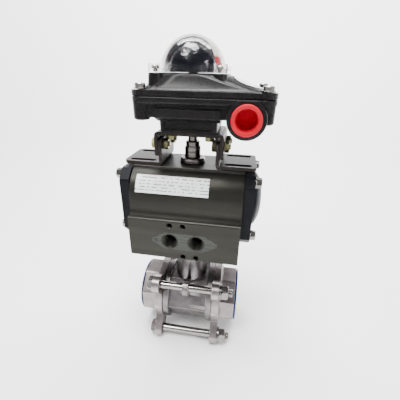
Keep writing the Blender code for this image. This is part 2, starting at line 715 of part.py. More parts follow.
def cover_sections(drop, inset, top):
    """Loops from the rim up the hollow slope to the dome's square seat."""
    sections = []
    steps = 4
    rim_inset = 4 + inset
    for i in range(steps + 1):
        share = i / steps
        left = (1 - share) * (BOX_LEFT + rim_inset) + share * (-SEAT_HALF + inset)
        right = (1 - share) * (BOX_RIGHT - rim_inset) + share * (SEAT_HALF - inset)
        half = (1 - share) * (BOX_HALF - rim_inset) + share * (SEAT_HALF - inset)
        height = RIM_TOP - drop + (top - RIM_TOP + drop) * share ** 1.7
        radius = 5 + 7 * share
        sections.append(level(rounded_rectangle(left, right, -half, half, radius), height))
    return sections


def make_switch_cover():
    low = SEAM + GAP
    outside = [level(box_outline(0, 9), low), level(box_outline(0, 9), RIM_TOP - 0.8)]
    outside.append(level(box_outline(0.8, 8.2), RIM_TOP))
    cover = loft("switch_cover", outside + cover_sections(0, 0, SEAT_TOP), BLACK_CAST)
    cut(cover, loft("hollow", [level(box_outline(6.5, 4), low - 1)] + cover_sections(3, 3, SEAT_TOP - 3)))
    cut(cover, rod("seat_hole", (0, 0, SEAM), (0, 0, SEAT_TOP + 1), 22, sides=28))
    for x, y in LID_SCREWS:
        join(cover, rod("lid_boss", (x, y, low), (x, y, RIM_TOP + 0.6), 5.6, sides=14))
        cut(cover, rod("head_pocket", (x, y, RIM_TOP + 0.6), (x, y, RIM_TOP + 12), 6.1, sides=14))
        cut(cover, rod("lid_hole", (x, y, low - 1), (x, y, RIM_TOP + 3), 2.4, sides=8))
    for x in (-1, 1):
        for y in (-1, 1):
            place = (x * (SEAT_HALF - 5.3), y * (SEAT_HALF - 5.3))
            join(cover, rod("seat_boss", (*place, SEAT_TOP - 6), (*place, SEAT_TOP - 0.2), 5, sides=12))


def make_lid_screws():
    for number, (x, y) in enumerate(LID_SCREWS, 1):
        head = RIM_TOP + 0.6 + GAP
        screw = rod(f"lid_screw_{number}", (x, y, SEAM - 9), (x, y, head + 1), 1.6, POLISHED, 8)
        join(screw, rod("lid_head", (x, y, head), (x, y, head + 3.6), 4, sides=12))


def make_dome():
    rise = 24
    angles = [math.radians(90 * (1 - i / 7)) for i in range(8)]
    outer = [(DOME_RADIUS * math.cos(a), DOME_RADIUS * math.sin(a)) for a in angles]
    outer[0] = (0, DOME_RADIUS)
    inner_radius = DOME_RADIUS - 2
    dome = turned("dome", outer + [(0, 0)], (0, 0, DOME_CENTRE), "Z", CLEAR, 28)
    flange = rounded_rectangle(-SEAT_HALF, SEAT_HALF, -SEAT_HALF, SEAT_HALF, 4)
    low = SEAT_TOP + GAP
    join(dome, slab("dome_flange", flange, low, low + 5.5))
    inner = [(inner_radius * math.cos(a), inner_radius * math.sin(a)) for a in angles]
    inner[0] = (0, inner_radius)
    inner += [(inner_radius, -rise), (0, -rise)]
    cut(dome, turned("dome_hollow", inner, (0, 0, DOME_CENTRE), steps=28))


def make_indicator_mask():
    """A black shell inside the dome with two clear windows, towards +X and -X."""
    outer_radius = 24.4
    inner_radius = 23.2
    low = SEAT_TOP + 0.5
    angles = [math.radians(90 * (1 - i / 7)) for i in range(8)]
    outer = [(outer_radius * math.cos(a), outer_radius * math.sin(a)) for a in angles]
    inner = [(inner_radius * math.cos(a), inner_radius * math.sin(a)) for a in angles]
    outer[0] = (0, outer_radius)
    inner[0] = (0, inner_radius)
    mask = turned("indicator_mask", outer + inner[::-1], (0, 0, low), "Z", MASK_BLACK, 28)
    window = math.radians(36.3)
    reach = 40
    for sign in (1, -1):
        near = 2.5
        outline = [
            (sign * near, near * math.tan(window)),
            (sign * near, -near * math.tan(window)),
            (sign * reach, -reach * math.tan(window)),
            (sign * reach, reach * math.tan(window)),
        ]
        cut(mask, slab("window", outline, low + 2.6, low + 30))


def make_indicator_rotor():
    low = SEAT_TOP + 1.3
    profile = [(0, 9.5), (18, 9.5), (21, 0), (0, 0)]
    rotor = turned("indicator_rotor", profile, (0, 0, low), "Z", RED, 24)
    cut(rotor, rod("rotor_bore", (0, 0, low - 2), (0, 0, low + 6), SHAFT_RADIUS + GAP, sides=14))


def make_switch_shaft():
    low = PINION_TOP + GAP
    shaft = rod("switch_shaft", (0, 0, low), (0, 0, low + 4.6), 6.4, POLISHED, 16)
    join(shaft, rod("shaft", (0, 0, low + 4), (0, 0, SEAT_TOP + 5.5), SHAFT_RADIUS, sides=14))
    join(shaft, box("tongue", (-6, -1.9, PINION_TOP - 4), (6, 1.9, low + 1)))


def make_cams():
    for name, low in (("cam_lower", BOX_BOTTOM + 6.8), ("cam_upper", BOX_BOTTOM + 14.8)):
        cam = rod(name, (0, 0, low), (0, 0, low + 4), 9, CAM_YELLOW, 20)
        lobe = stadium((0, 0), (0, 4.2), 5.4, 6)
        if name == "cam_upper":
            lobe = [(y, -x) for x, y in lobe]
        join(cam, slab("lobe", lobe, low, low + 4))
        cut(cam, rod("cam_bore", (0, 0, low - 1), (0, 0, low + 5), SHAFT_RADIUS + GAP, sides=14))


def make_limit_switches():
    for number, low in ((1, BOX_BOTTOM + 4), (2, BOX_BOTTOM + 12.7)):
        switch = box(f"limit_switch_{number}", (13, -14, low), (29, 14, low + 8), SWITCH_BLACK)
        for y in (-9, 9):
            cut(switch, rod("switch_hole", (22, y, low - 1), (22, y, low + 9), 1.5, sides=8))
        lever = box(f"switch_lever_{number}", (10.4, -12, low + 2), (11.2, 12, low + 6), SPRING_STEEL)
        join(lever, rod("lever_pin", (10.9, 12, low + 2), (10.9, 12, low + 6), 1, sides=8))


def make_terminal_strip():
    low = BOX_BOTTOM + 3.7
    top = BOX_BOTTOM + 13.3
    strip = box("terminal_strip", (44, -22, low), (55, 22, top), TERMINAL_WHITE)
    for i in range(6):
        y = -17.5 + 7 * i
        cut(strip, rod("terminal_screw_hole", (49.5, y, top - 4), (49.5, y, top + 2), 2.2, sides=8))


def make_entry_plug(side, sign):
    """A red conduit plug: a flange, a hollow barrel and a closed inner end."""
    def along(y):
        return (ENTRY_X, sign * y, ENTRY_HEIGHT)

    face = ENTRY_OUT + PULL_GAP
    plug = rod("entry_plug_" + side, along(face), along(face + 2.2), 11.2, RED, 28)
    join(plug, rod("barrel", along(face - 14), along(face + 1), 9.4, sides=24))
    cut(plug, rod("barrel_recess", along(face - 12.4), along(face + 4), 7.7, sides=20))


# ---------------------------------------------------------------- assembly

clear_scene()
PIECES = make_collection("actuated_ball_valve")
HELPERS = make_collection("cutters")
STAINLESS = make_look("stainless_casting", (0.45, 0.43, 0.43), 1.0, 0.42)
POLISHED = make_look("polished_stainless", (0.60, 0.59, 0.58), 1.0, 0.22)
PTFE = make_look("ptfe", (0.80, 0.80, 0.78), 0.0, 0.45)
BRASS = make_look("passivated_brass", (0.35, 0.30, 0.14), 1.0, 0.35)
BLUE = make_look("blue_plastic", (0.02, 0.07, 0.22), 0.0, 0.35)
ANODISED = make_look("hard_anodised", (0.12, 0.12, 0.10), 0.8, 0.38)
CAST_ALUMINIUM = make_look("cast_aluminium", (0.55, 0.55, 0.55), 0.9, 0.45)
BLACK_CAST = make_look("black_coated_aluminium", (0.02, 0.02, 0.025), 0.0, 0.35)
BRACKET_STEEL = make_look("dark_steel", (0.06, 0.05, 0.045), 0.6, 0.4)
CLEAR = make_look("clear_polycarbonate", (0.9, 0.9, 0.9), 0.0, 0.05, 0.3)
MASK_BLACK = make_look("gloss_black", (0.02, 0.02, 0.025), 0.0, 0.12)
RED = make_look("red_plastic", (0.75, 0.0, 0.02), 0.0, 0.3)
CAM_YELLOW = make_look("yellow_plastic", (0.8, 0.6, 0.05), 0.0, 0.4)
SWITCH_BLACK = make_look("switch_plastic", (0.03, 0.03, 0.03), 0.0, 0.5)
SPRING_STEEL = make_look("spring_steel", (0.5, 0.5, 0.48), 1.0, 0.3)
TERMINAL_WHITE = make_look("terminal_plastic", (0.7, 0.7, 0.66), 0.0, 0.5)

make_valve_body()
make_ball()
make_stem()
make_gland()
make_body_bolts()
make_actuator_body()
make_pinion()
make_thrust_ring()
make_bracket()
make_switch_base()
make_switch_cover()
make_lid_screws()
make_dome()
make_indicator_mask()
make_indicator_rotor()
make_switch_shaft()
make_cams()
make_limit_switches()
make_terminal_strip()
for side, sign in SIDES.items():
    make_valve_end(side, sign)
    make_seat(side, sign)
    make_port_cap(side, sign)
    make_end_cover(side, sign)
    make_piston(side, sign)
make_entry_plug("front", -1)
make_entry_plug("rear", 1)
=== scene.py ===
import math

import bmesh
import bpy
from mathutils import Matrix, Vector
from mathutils.bvhtree import BVHTree


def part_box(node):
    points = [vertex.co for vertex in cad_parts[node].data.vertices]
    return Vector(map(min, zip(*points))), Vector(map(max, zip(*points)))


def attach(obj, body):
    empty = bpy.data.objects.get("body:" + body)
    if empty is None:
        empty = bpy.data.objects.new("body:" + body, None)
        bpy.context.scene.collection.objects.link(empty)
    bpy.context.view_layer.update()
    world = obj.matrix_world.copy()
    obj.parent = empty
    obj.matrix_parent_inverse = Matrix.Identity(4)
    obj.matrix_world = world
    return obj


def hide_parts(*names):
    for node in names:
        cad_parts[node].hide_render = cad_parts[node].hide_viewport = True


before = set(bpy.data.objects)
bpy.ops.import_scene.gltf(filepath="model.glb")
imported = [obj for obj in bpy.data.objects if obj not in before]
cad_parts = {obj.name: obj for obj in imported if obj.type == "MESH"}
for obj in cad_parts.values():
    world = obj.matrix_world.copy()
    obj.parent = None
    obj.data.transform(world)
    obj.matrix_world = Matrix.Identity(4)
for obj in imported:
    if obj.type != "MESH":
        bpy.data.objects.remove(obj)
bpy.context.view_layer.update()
mm = 0.001  # every size below is in millimetres
print("frame loaded:", len(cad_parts), "nodes")


def spanOf(node):
    low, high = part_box(node)
    return low / mm, high / mm


def middleOf(node):
    low, high = spanOf(node)
    return (low + high) / 2


def reachOf(node, axis="x"):
    # how near the stem's axis the node starts and how far out it ends
    low, high = spanOf(node)
    return sorted((abs(getattr(low, axis)), abs(getattr(high, axis))))


def fourCorners(x, y):
    return [(-x, -y), (-x, y), (x, -y), (x, y)]


# heights and reaches that the pieces share, all taken from the frame
boreHeight = middleOf("port_cap_left").z
padTop = spanOf("valve_body")[1].z
actuatorLow, actuatorHigh = spanOf("actuator_body")
pistonHeight = middleOf("piston_left").z
bedTop = actuatorHigh.z
plateTop = spanOf("bracket_top")[1].z
baseLow, baseHigh = spanOf("switch_base")
coverLow, coverHigh = spanOf("switch_cover")
domeLow, domeHigh = spanOf("dome")
seam = baseHigh.z
seatTop = coverHigh.z
boxHalf = coverHigh.y
sides = {"Left": -1, "Right": 1}


# the camera, lights and studio come first
view = {
    "place": (43.6, -237.8, 275.0),
    "yaw": 8.55,
    "pitch": 25.51,
    "roll": 1.2,
    "lens": 23.6,
    "sensor": 36.0,
}


def makeCamera():
    yaw, pitch, roll = (math.radians(view[turn]) for turn in ("yaw", "pitch", "roll"))
    back = Vector((math.sin(yaw) * math.cos(pitch), -math.cos(yaw) * math.cos(pitch), math.sin(pitch)))
    right = Vector((math.cos(yaw), math.sin(yaw), 0))
    up = back.cross(right)
    leanRight = math.cos(roll) * right + math.sin(roll) * up
    leanUp = -math.sin(roll) * right + math.cos(roll) * up
    data = bpy.data.cameras.new("camera")
    data.lens = view["lens"]
    data.sensor_width = view["sensor"]
    data.clip_start = 0.01
    camera = bpy.data.objects.new("camera", data)
    bpy.context.scene.collection.objects.link(camera)
    place = Matrix((leanRight, leanUp, back)).transposed().to_4x4()
    place.translation = Vector(view["place"]) * mm
    camera.matrix_world = place
    bpy.context.scene.camera = camera


studio = {
    "floorReach": 1900.0,
    "roughness": 0.9,
    "sweepSteps": 12,
    "wallHeight": 1500.0,
    "sweep": 700.0,
    "floorColour": (0.97, 0.97, 0.97),
    "topColour": (0.16, 0.16, 0.17),
    "fade": (740.0, 1050.0),
    "skyColour": (1.0, 1.0, 1.0),
    "skyStrength": 0.3,
    # name, place, aimed at, width, height, power in watts, colour
    "lamps": [
        ("keyLamp", (-260, -420, 980), (0, 0, 150), 280, 300, 9.0, (1.0, 0.985, 0.965)),
        ("fillLamp", (640, -380, 520), (0, 0, 150), 120, 420, 2.6, (1.0, 0.96, 0.95)),
        ("topLamp", (-40, -70, 1000), (0, 0, 180), 460, 220, 17.0, (0.98, 0.99, 1.0)),
        ("backLamp", (0, 600, 1500), (0, 1800, 300), 1600, 500, 100.0, (1.0, 1.0, 1.0)),
    ],
}


def makeStudio():
    reach, height, sweep = studio["floorReach"], studio["wallHeight"], studio["sweep"]
    profile = [(0.0, 0.0), (reach - sweep, 0.0)]
    for step in range(1, studio["sweepSteps"] + 1):
        lift = math.radians(90 * step / studio["sweepSteps"])
        profile.append((reach - sweep + sweep * math.sin(lift), sweep - sweep * math.cos(lift)))
    profile.append((reach, height))
    edit = bmesh.new()
    spinProfile(edit, profile, 96)
    bmesh.ops.reverse_faces(edit, faces=edit.faces)
    floor = objectFrom("paleFloor", edit)
    paper = bpy.data.materials.new("palePaper")
    paper.use_nodes = True
    shader = paper.node_tree.nodes["Principled BSDF"]
    shader.inputs["Roughness"].default_value = studio["roughness"]
    tree = paper.node_tree
    coordinates = tree.nodes.new("ShaderNodeTexCoord")
    parts = tree.nodes.new("ShaderNodeSeparateXYZ")
    tree.links.new(coordinates.outputs["Object"], parts.inputs["Vector"])
    start, end = studio["fade"]
    share = addRange(tree, parts.outputs["Z"], 0.0, 1.0, start * mm, end * mm)
    tree.links.new(
        addBlend(tree, share, studio["floorColour"], studio["topColour"]), shader.inputs["Base Color"]
    )
    floor.data.materials.append(paper)
    floor.data.shade_smooth()
    world = bpy.data.worlds.new("softSky")
    bpy.context.scene.world = world
    world.use_nodes = True
    sky = world.node_tree.nodes["Background"]
    sky.inputs["Color"].default_value = (*studio["skyColour"], 1)
    sky.inputs["Strength"].default_value = studio["skyStrength"]
    for name, place, aim, width, tall, power, colour in studio["lamps"]:
        data = bpy.data.lights.new(name, "AREA")
        data.shape = "RECTANGLE"
        data.size = width * mm
        data.size_y = tall * mm
        data.energy = power
        data.color = colour
        lamp = bpy.data.objects.new(name, data)
        bpy.context.scene.collection.objects.link(lamp)
        lamp.location = Vector(place) * mm
        lamp.rotation_euler = (Vector(aim) - Vector(place)).to_track_quat("-Z", "Y").to_euler()


# shapes: each helper makes a bare mesh object, and dress() turns it into a piece
# along "X" and "Z" heights count upwards, and along "Y" they count towards the front
axisTurns = {
    "X": Matrix(((0, 0, 1, 0), (1, 0, 0, 0), (0, 1, 0, 0), (0, 0, 0, 1))),
    "Y": Matrix(((1, 0, 0, 0), (0, 0, -1, 0), (0, 1, 0, 0), (0, 0, 0, 1))),
    "Z": Matrix.Identity(4),
}


def objectFrom(name, edit):
    mesh = bpy.data.meshes.new(name)
    edit.to_mesh(mesh)
    edit.free()
    made = bpy.data.objects.new(name, mesh)
    bpy.context.scene.collection.objects.link(made)
    return made


def bandBetween(edit, lower, upper):
    # one face per step, and a wedge where a loop shrinks to a point
    for step in range(len(lower)):
        after = (step + 1) % len(lower)
        corners = dict.fromkeys((lower[step], lower[after], upper[after], upper[step]))
        if len(corners) > 2:
            edit.faces.new(list(corners))


def spinProfile(edit, profile, steps, ring=False):
    loops = []
    for radius, height in profile:
        if radius == 0:
            loops.append([edit.verts.new((0, 0, height * mm))] * steps)
            continue
        loop = []
        for step in range(steps):
            angle = 2 * math.pi * step / steps
            across, along = radius * mm * math.cos(angle), radius * mm * math.sin(angle)
            loop.append(edit.verts.new((across, along, height * mm)))
        loops.append(loop)
    pairs = list(zip(loops, loops[1:]))
    if ring:
        pairs.append((loops[-1], loops[0]))
    for lower, upper in pairs:
        bandBetween(edit, lower, upper)
    bmesh.ops.recalc_face_normals(edit, faces=edit.faces)


def turned(name, profile, centre=(0, 0, 0), axis="Z", steps=72, ring=False):
    edit = bmesh.new()
    spinProfile(edit, profile, steps, ring)
    place = Matrix.Translation(Vector(centre) * mm) @ axisTurns[axis]
    bmesh.ops.transform(edit, matrix=place, verts=edit.verts)
    return objectFrom(name, edit)


def rod(name, start, end, radius, steps=48):
    start, end = Vector(start), Vector(end)
    edit = bmesh.new()
    length = (end - start).length
    spinProfile(edit, [(0, 0), (radius, 0), (radius, length), (0, length)], steps)
    turn = (end - start).to_track_quat("Z", "Y").to_matrix().to_4x4()
    bmesh.ops.transform(edit, matrix=Matrix.Translation(start * mm) @ turn, verts=edit.verts)
    return objectFrom(name, edit)


def loft(name, loops):
    edit = bmesh.new()
    rows = [[edit.verts.new(Vector(point) * mm) for point in loop] for loop in loops]
    for lower, upper in zip(rows, rows[1:]):
        bandBetween(edit, lower, upper)
    edit.faces.new(list(reversed(rows[0])))
    edit.faces.new(rows[-1])
    bmesh.ops.recalc_face_normals(edit, faces=edit.faces)
    return objectFrom(name, edit)


def slab(name, outline, low, high, axis="Z"):
    made = loft(name, [[(*point, low) for point in outline], [(*point, high) for point in outline]])
    made.data.transform(axisTurns[axis])
    return made


def block(name, low, high):
    corners = [(low[0], low[1]), (high[0], low[1]), (high[0], high[1]), (low[0], high[1])]
    return slab(name, corners, low[2], high[2])


def softened(points, radius, steps=4):
    made = []
    count = len(points)
    for index, point in enumerate(points):
        bend = point[2] if len(point) > 2 else radius
        corner = Vector(point[:2])
        before = Vector(points[index - 1][:2]) - corner
        after = Vector(points[(index + 1) % count][:2]) - corner
        if bend <= 0 or before.length < 1e-6 or after.length < 1e-6:
            made.append(tuple(corner))
            continue
        half = before.angle(after) / 2
        reach = min(bend / max(math.tan(half), 1e-3), before.length * 0.48, after.length * 0.48)
        first = corner + before.normalized() * reach
        last = corner + after.normalized() * reach
        for step in range(steps + 1):
            share = step / steps
            spot = first * (1 - share) ** 2 + corner * 2 * share * (1 - share) + last * share**2
            made.append(tuple(spot))
    return made


def polygon(count, radius, centre=(0, 0), turn=0.0):
    angles = [math.radians(turn + 360 * step / count) for step in range(count)]
    return [(centre[0] + radius * math.cos(a), centre[1] + radius * math.sin(a)) for a in angles]


def roundedRectangle(left, right, low, high, radius, steps=8):
    corners = [(right, low), (right, high), (left, high), (left, low)]
    starts = [-90, 0, 90, 180]
    points = []
    for (x, y), start in zip(corners, starts):
        centreX = x - radius if x == right else x + radius
        centreY = y - radius if y == high else y + radius
        for step in range(steps + 1):
            angle = math.radians(start + 90 * step / steps)
            points.append((centreX + radius * math.cos(angle), centreY + radius * math.sin(angle)))
    return points


def stadium(start, end, radius, steps=14):
    heading = math.atan2(end[1] - start[1], end[0] - start[0])
    points = []
    for centre, first in ((end, -math.pi / 2), (start, math.pi / 2)):
        for step in range(steps + 1):
            angle = heading + first + math.pi * step / steps
            points.append((centre[0] + radius * math.cos(angle), centre[1] + radius * math.sin(angle)))
    return points


def combine(piece, steps):
    for how, tool in steps:
        step = piece.modifiers.new(how, "BOOLEAN")
        step.operation = how
        step.object = tool
    graph = bpy.context.evaluated_depsgraph_get()
    mesh = bpy.data.meshes.new_from_object(piece.evaluated_get(graph))
    piece.modifiers.clear()
    piece.data = mesh
    for how, tool in steps:
        bpy.data.objects.remove(tool)
    edit = bmesh.new()
    edit.from_mesh(mesh)
    bmesh.ops.remove_doubles(edit, verts=edit.verts, dist=2e-6)
    bmesh.ops.dissolve_degenerate(edit, edges=edit.edges, dist=2e-6)
    edit.to_mesh(mesh)
    edit.free()
    return piece


def joined(*tools):
    return [("UNION", tool) for tool in tools]


def removed(*tools):
    return [("DIFFERENCE", tool) for tool in tools]


# the frame's material slot that each look belongs to
slotNames = {
    "cast": "stainless_casting", "hub": "stainless_casting", "polished": "polished_stainless",
    "screw": "polished_stainless", "shaft": "polished_stainless", "blue": "blue_plastic",
    "anodised": "hard_anodised", "film": "hard_anodised", "navy": "black_coating",
    "coated": "black_coating", "bracket": "dark_steel", "brass": "brass", "clear": "clear_plastic",
    "mask": "gloss_black", "red": "red_plastic", "litWellRed": "red_plastic", "yellow": "yellow_plastic",
    "cream": "yellow_plastic", "label": None, "sticker": None, "stickerEdge": None,
}


def giveFinish(piece, look):
    piece.data.materials.clear()
    piece.data.materials.append(finishes[look])
    for face in piece.data.polygons:
        face.material_index = 0


def dress(piece, body, look, replaced=(), edge=0.35, rounds=2, sharp=32.0, slotName=""):
    giveFinish(piece, look)
    slotName = slotName or slotNames[look]
    for face in piece.data.polygons:
        face.use_smooth = True
    if edge > 0:
        rounding = piece.modifiers.new("edge", "BEVEL")
        rounding.width = edge * mm
        rounding.segments = rounds
        rounding.limit_method = "ANGLE"
        rounding.angle_limit = math.radians(sharp)
        rounding.use_clamp_overlap = True
        rounding.harden_normals = True
        evened = piece.modifiers.new("evenLight", "WEIGHTED_NORMAL")
        evened.keep_sharp = True
    else:
        piece.data.set_sharp_from_angle(angle=math.radians(sharp))
    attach(piece, body)
    if replaced:
        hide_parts(*replaced)
    return piece


def mergeObjects(name, pieces):
    edit = bmesh.new()
    for piece in pieces:
        edit.from_mesh(piece.data)
        bpy.data.objects.remove(piece)
    return objectFrom(name, edit)


# finishes
def startMaterial(name, look):
    material = bpy.data.materials.new(name)
    material.use_nodes = True
    tree = material.node_tree
    shader = tree.nodes["Principled BSDF"]
    shader.inputs["Metallic"].default_value = look.get("metallic", 0.0)
    shader.inputs["Roughness"].default_value = look.get("rough", 0.5)
    shader.inputs["IOR"].default_value = look.get("ior", 1.5)
    shader.inputs["Specular IOR Level"].default_value = look.get("specular", 0.5)
    coordinates = tree.nodes.new("ShaderNodeTexCoord")
    mapping = tree.nodes.new("ShaderNodeMapping")
    mapping.inputs["Scale"].default_value = look.get("stretch", (1, 1, 1))
    tree.links.new(coordinates.outputs["Object"], mapping.inputs["Vector"])
    return material, tree, shader, mapping


def addNoise(tree, mapping, perMetre, detail=3.0, rough=0.55):
    noise = tree.nodes.new("ShaderNodeTexNoise")
    noise.inputs["Scale"].default_value = perMetre
    noise.inputs["Detail"].default_value = detail
    noise.inputs["Roughness"].default_value = rough
    tree.links.new(mapping.outputs["Vector"], noise.inputs["Vector"])
    return noise.outputs["Fac"]


def addRange(tree, source, low, high, fromLow=0.3, fromHigh=0.7):
    spread = tree.nodes.new("ShaderNodeMapRange")
    spread.inputs["From Min"].default_value = fromLow
    spread.inputs["From Max"].default_value = fromHigh
    spread.inputs["To Min"].default_value = low
    spread.inputs["To Max"].default_value = high
    tree.links.new(source, spread.inputs["Value"])
    return spread.outputs["Result"]


def addBlend(tree, share, first, second):
    blend = tree.nodes.new("ShaderNodeMix")
    blend.data_type = "RGBA"
    tree.links.new(share, blend.inputs[0])
    for socket, value in ((blend.inputs[6], first), (blend.inputs[7], second)):
        if isinstance(value, tuple):
            socket.default_value = (*value, 1)
        else:
            tree.links.new(value, socket)
    return blend.outputs[2]


def addBump(tree, shader, height, depth, strength=1.0):
    bump = tree.nodes.new("ShaderNodeBump")
    bump.inputs["Strength"].default_value = strength
    bump.inputs["Distance"].default_value = depth * mm
    tree.links.new(height, bump.inputs["Height"])
    tree.links.new(bump.outputs["Normal"], shader.inputs["Normal"])


def addWear(tree, colour, worn, low, high):
    # edges rub bright and inner corners keep their dirt
    geometry = tree.nodes.new("ShaderNodeNewGeometry")
    share = addRange(tree, geometry.outputs["Pointiness"], 0.0, 1.0, low, high)
    return addBlend(tree, share, colour, worn)


def grained(name, look):
    material, tree, shader, mapping = startMaterial(name, look)
    mottle = addNoise(tree, mapping, look["mottle"], 4.0)
    colour = addBlend(tree, addRange(tree, mottle, 0.0, 1.0), look["dark"], look["light"])
    if "worn" in look:
        colour = addWear(tree, colour, look["worn"], *look["wearFrom"])
    tree.links.new(colour, shader.inputs["Base Color"])
    grain = addNoise(tree, mapping, look["grain"], 2.0)
    roughness = addRange(
        tree, grain, look["rough"] - look["roughSpread"], look["rough"] + look["roughSpread"]
    )
    tree.links.new(roughness, shader.inputs["Roughness"])
    addBump(tree, shader, grain, look["depth"], look.get("strength", 1.0))
    return material


castLook = {
    "dark": (0.125, 0.115, 0.12), "light": (0.235, 0.218, 0.222), "metallic": 1.0, "rough": 0.34,
    "roughSpread": 0.07, "mottle": 90.0, "grain": 2600.0, "depth": 0.035, "strength": 0.8,
    "worn": (0.62, 0.59, 0.58), "wearFrom": (0.53, 0.62),
}
hubLook = dict(castLook, dark=(0.215, 0.186, 0.186), light=(0.335, 0.295, 0.296))
polishedLook = {
    "dark": (0.22, 0.21, 0.20), "light": (0.36, 0.345, 0.33), "metallic": 1.0, "rough": 0.14,
    "roughSpread": 0.05, "mottle": 160.0, "grain": 1400.0, "depth": 0.006, "stretch": (0.12, 1, 1),
}
screwLook = dict(
    polishedLook, dark=(0.17, 0.165, 0.155), light=(0.28, 0.27, 0.255), rough=0.22, stretch=(1, 1, 1),
    depth=0.012
)
shaftLook = dict(screwLook, dark=(0.10, 0.096, 0.09), light=(0.18, 0.172, 0.162), rough=0.24)
ballLook = dict(polishedLook, rough=0.08, depth=0.003)
blueLook = {
    "dark": (0.004, 0.024, 0.095), "light": (0.006, 0.034, 0.125), "rough": 0.34, "specular": 0.25,
    "roughSpread": 0.05,
    "mottle": 60.0, "grain": 700.0, "depth": 0.02,
}
anodisedLook = {
    "dark": (0.023, 0.0228, 0.0198), "light": (0.032, 0.0317, 0.0275), "metallic": 0.8, "rough": 0.37,
    "specular": 0.2,
    "roughSpread": 0.06, "mottle": 120.0, "grain": 900.0, "depth": 0.012, "stretch": (0.05, 1, 1),
}
castAluminiumLook = {
    "dark": (0.45, 0.45, 0.46), "light": (0.6, 0.6, 0.6), "metallic": 0.9, "rough": 0.42,
    "roughSpread": 0.08, "mottle": 110.0, "grain": 1800.0, "depth": 0.03,
}
coatedLook = {
    "dark": (0.004, 0.0036, 0.004), "light": (0.008, 0.0072, 0.0076), "rough": 0.3, "roughSpread": 0.06,
    "mottle": 70.0, "grain": 950.0, "depth": 0.014, "strength": 0.4, "specular": 0.15,
}
navyLook = dict(
    coatedLook, dark=(0.0033, 0.0035, 0.0055), light=(0.006, 0.0064, 0.009), rough=0.36, specular=0.08
)
bracketLook = {
    "dark": (0.0075, 0.0048, 0.0042), "light": (0.0130, 0.0088, 0.0078), "metallic": 0.0, "rough": 0.36,
    "specular": 0.22,
    "roughSpread": 0.08, "mottle": 80.0, "grain": 800.0, "depth": 0.03, "strength": 0.6,
    "worn": (0.05, 0.042, 0.038), "wearFrom": (0.55, 0.68),
}
brassLook = {
    "dark": (0.12, 0.115, 0.055), "light": (0.24, 0.22, 0.12), "metallic": 0.9, "rough": 0.3,
    "roughSpread": 0.08, "mottle": 300.0, "grain": 1500.0, "depth": 0.01,
}
redLook = {
    "dark": (0.42, 0.0, 0.010), "light": (0.50, 0.0, 0.016), "rough": 0.45, "specular": 0.2,
    "roughSpread": 0.05,
    "mottle": 60.0, "grain": 900.0, "depth": 0.015,
}
# painted light: the plug's well gets a brighter copy of the red plastic, lifted to make up for the shade in
# its recess
litWellRedLook = dict(redLook, dark=(0.50, 0.0, 0.020), light=(0.58, 0.0, 0.028), rough=0.6, specular=0.1)
yellowLook = dict(redLook, dark=(0.72, 0.5, 0.03), light=(0.84, 0.62, 0.06), rough=0.4)
ptfeLook = dict(redLook, dark=(0.76, 0.76, 0.73), light=(0.84, 0.84, 0.82), rough=0.4)
switchLook = dict(redLook, dark=(0.018, 0.018, 0.019), light=(0.03, 0.03, 0.03), rough=0.45)
springLook = dict(polishedLook, rough=0.28)
terminalLook = dict(redLook, dark=(0.62, 0.61, 0.54), light=(0.72, 0.71, 0.65), rough=0.5)
maskLook = {
    "dark": (0.003, 0.003, 0.005), "light": (0.006, 0.006, 0.010), "rough": 0.06, "roughSpread": 0.02,
    "mottle": 50.0, "grain": 500.0, "depth": 0.002, "specular": 0.14,
}
filmLook = dict(
    anodisedLook, dark=(0.036, 0.038, 0.034), light=(0.047, 0.050, 0.045), metallic=0.7, rough=0.3
)
creamLook = dict(redLook, dark=(0.66, 0.63, 0.55), light=(0.76, 0.73, 0.66), rough=0.45)


def clearPlastic():
    look = {"rough": 0.04, "ior": 1.3, "alpha": 0.5}
    material, tree, shader, mapping = startMaterial("clearPolycarbonate", look)
    shader.inputs["Transmission Weight"].default_value = 1.0
    shader.inputs["Alpha"].default_value = look["alpha"]
    haze = addNoise(tree, mapping, 55.0, 3.0)
    tint = addBlend(tree, addRange(tree, haze, 0.0, 1.0), (0.93, 0.945, 0.93), (0.985, 0.99, 0.985))
    tree.links.new(tint, shader.inputs["Base Color"])
    tree.links.new(addRange(tree, haze, 0.0, 0.02), shader.inputs["Roughness"])
    addBump(tree, shader, haze, 0.004)
    return material


labelLook = {
    "paper": (0.80, 0.84, 0.82), "shade": (0.70, 0.75, 0.73), "ink": (0.06, 0.065, 0.07),
    "rough": 0.3, "specular": 0.3, "rowPitch": 2.35, "rowShare": 0.34, "dash": 420.0, "inkFrom": 182.2,
    "rowShift": 7.31, "inkShare": 0.8,
}
stickerLook = dict(labelLook, rowPitch=3.1, dash=300.0, inkFrom=-24.0)


def addMath(tree, how, first, second=None):
    node = tree.nodes.new("ShaderNodeMath")
    node.operation = how
    for socket, value in zip(node.inputs, (first, second)):
        if value is None:
            continue
        if isinstance(value, (int, float)):
            socket.default_value = value
        else:
            tree.links.new(value, socket)
    return node.outputs[0]


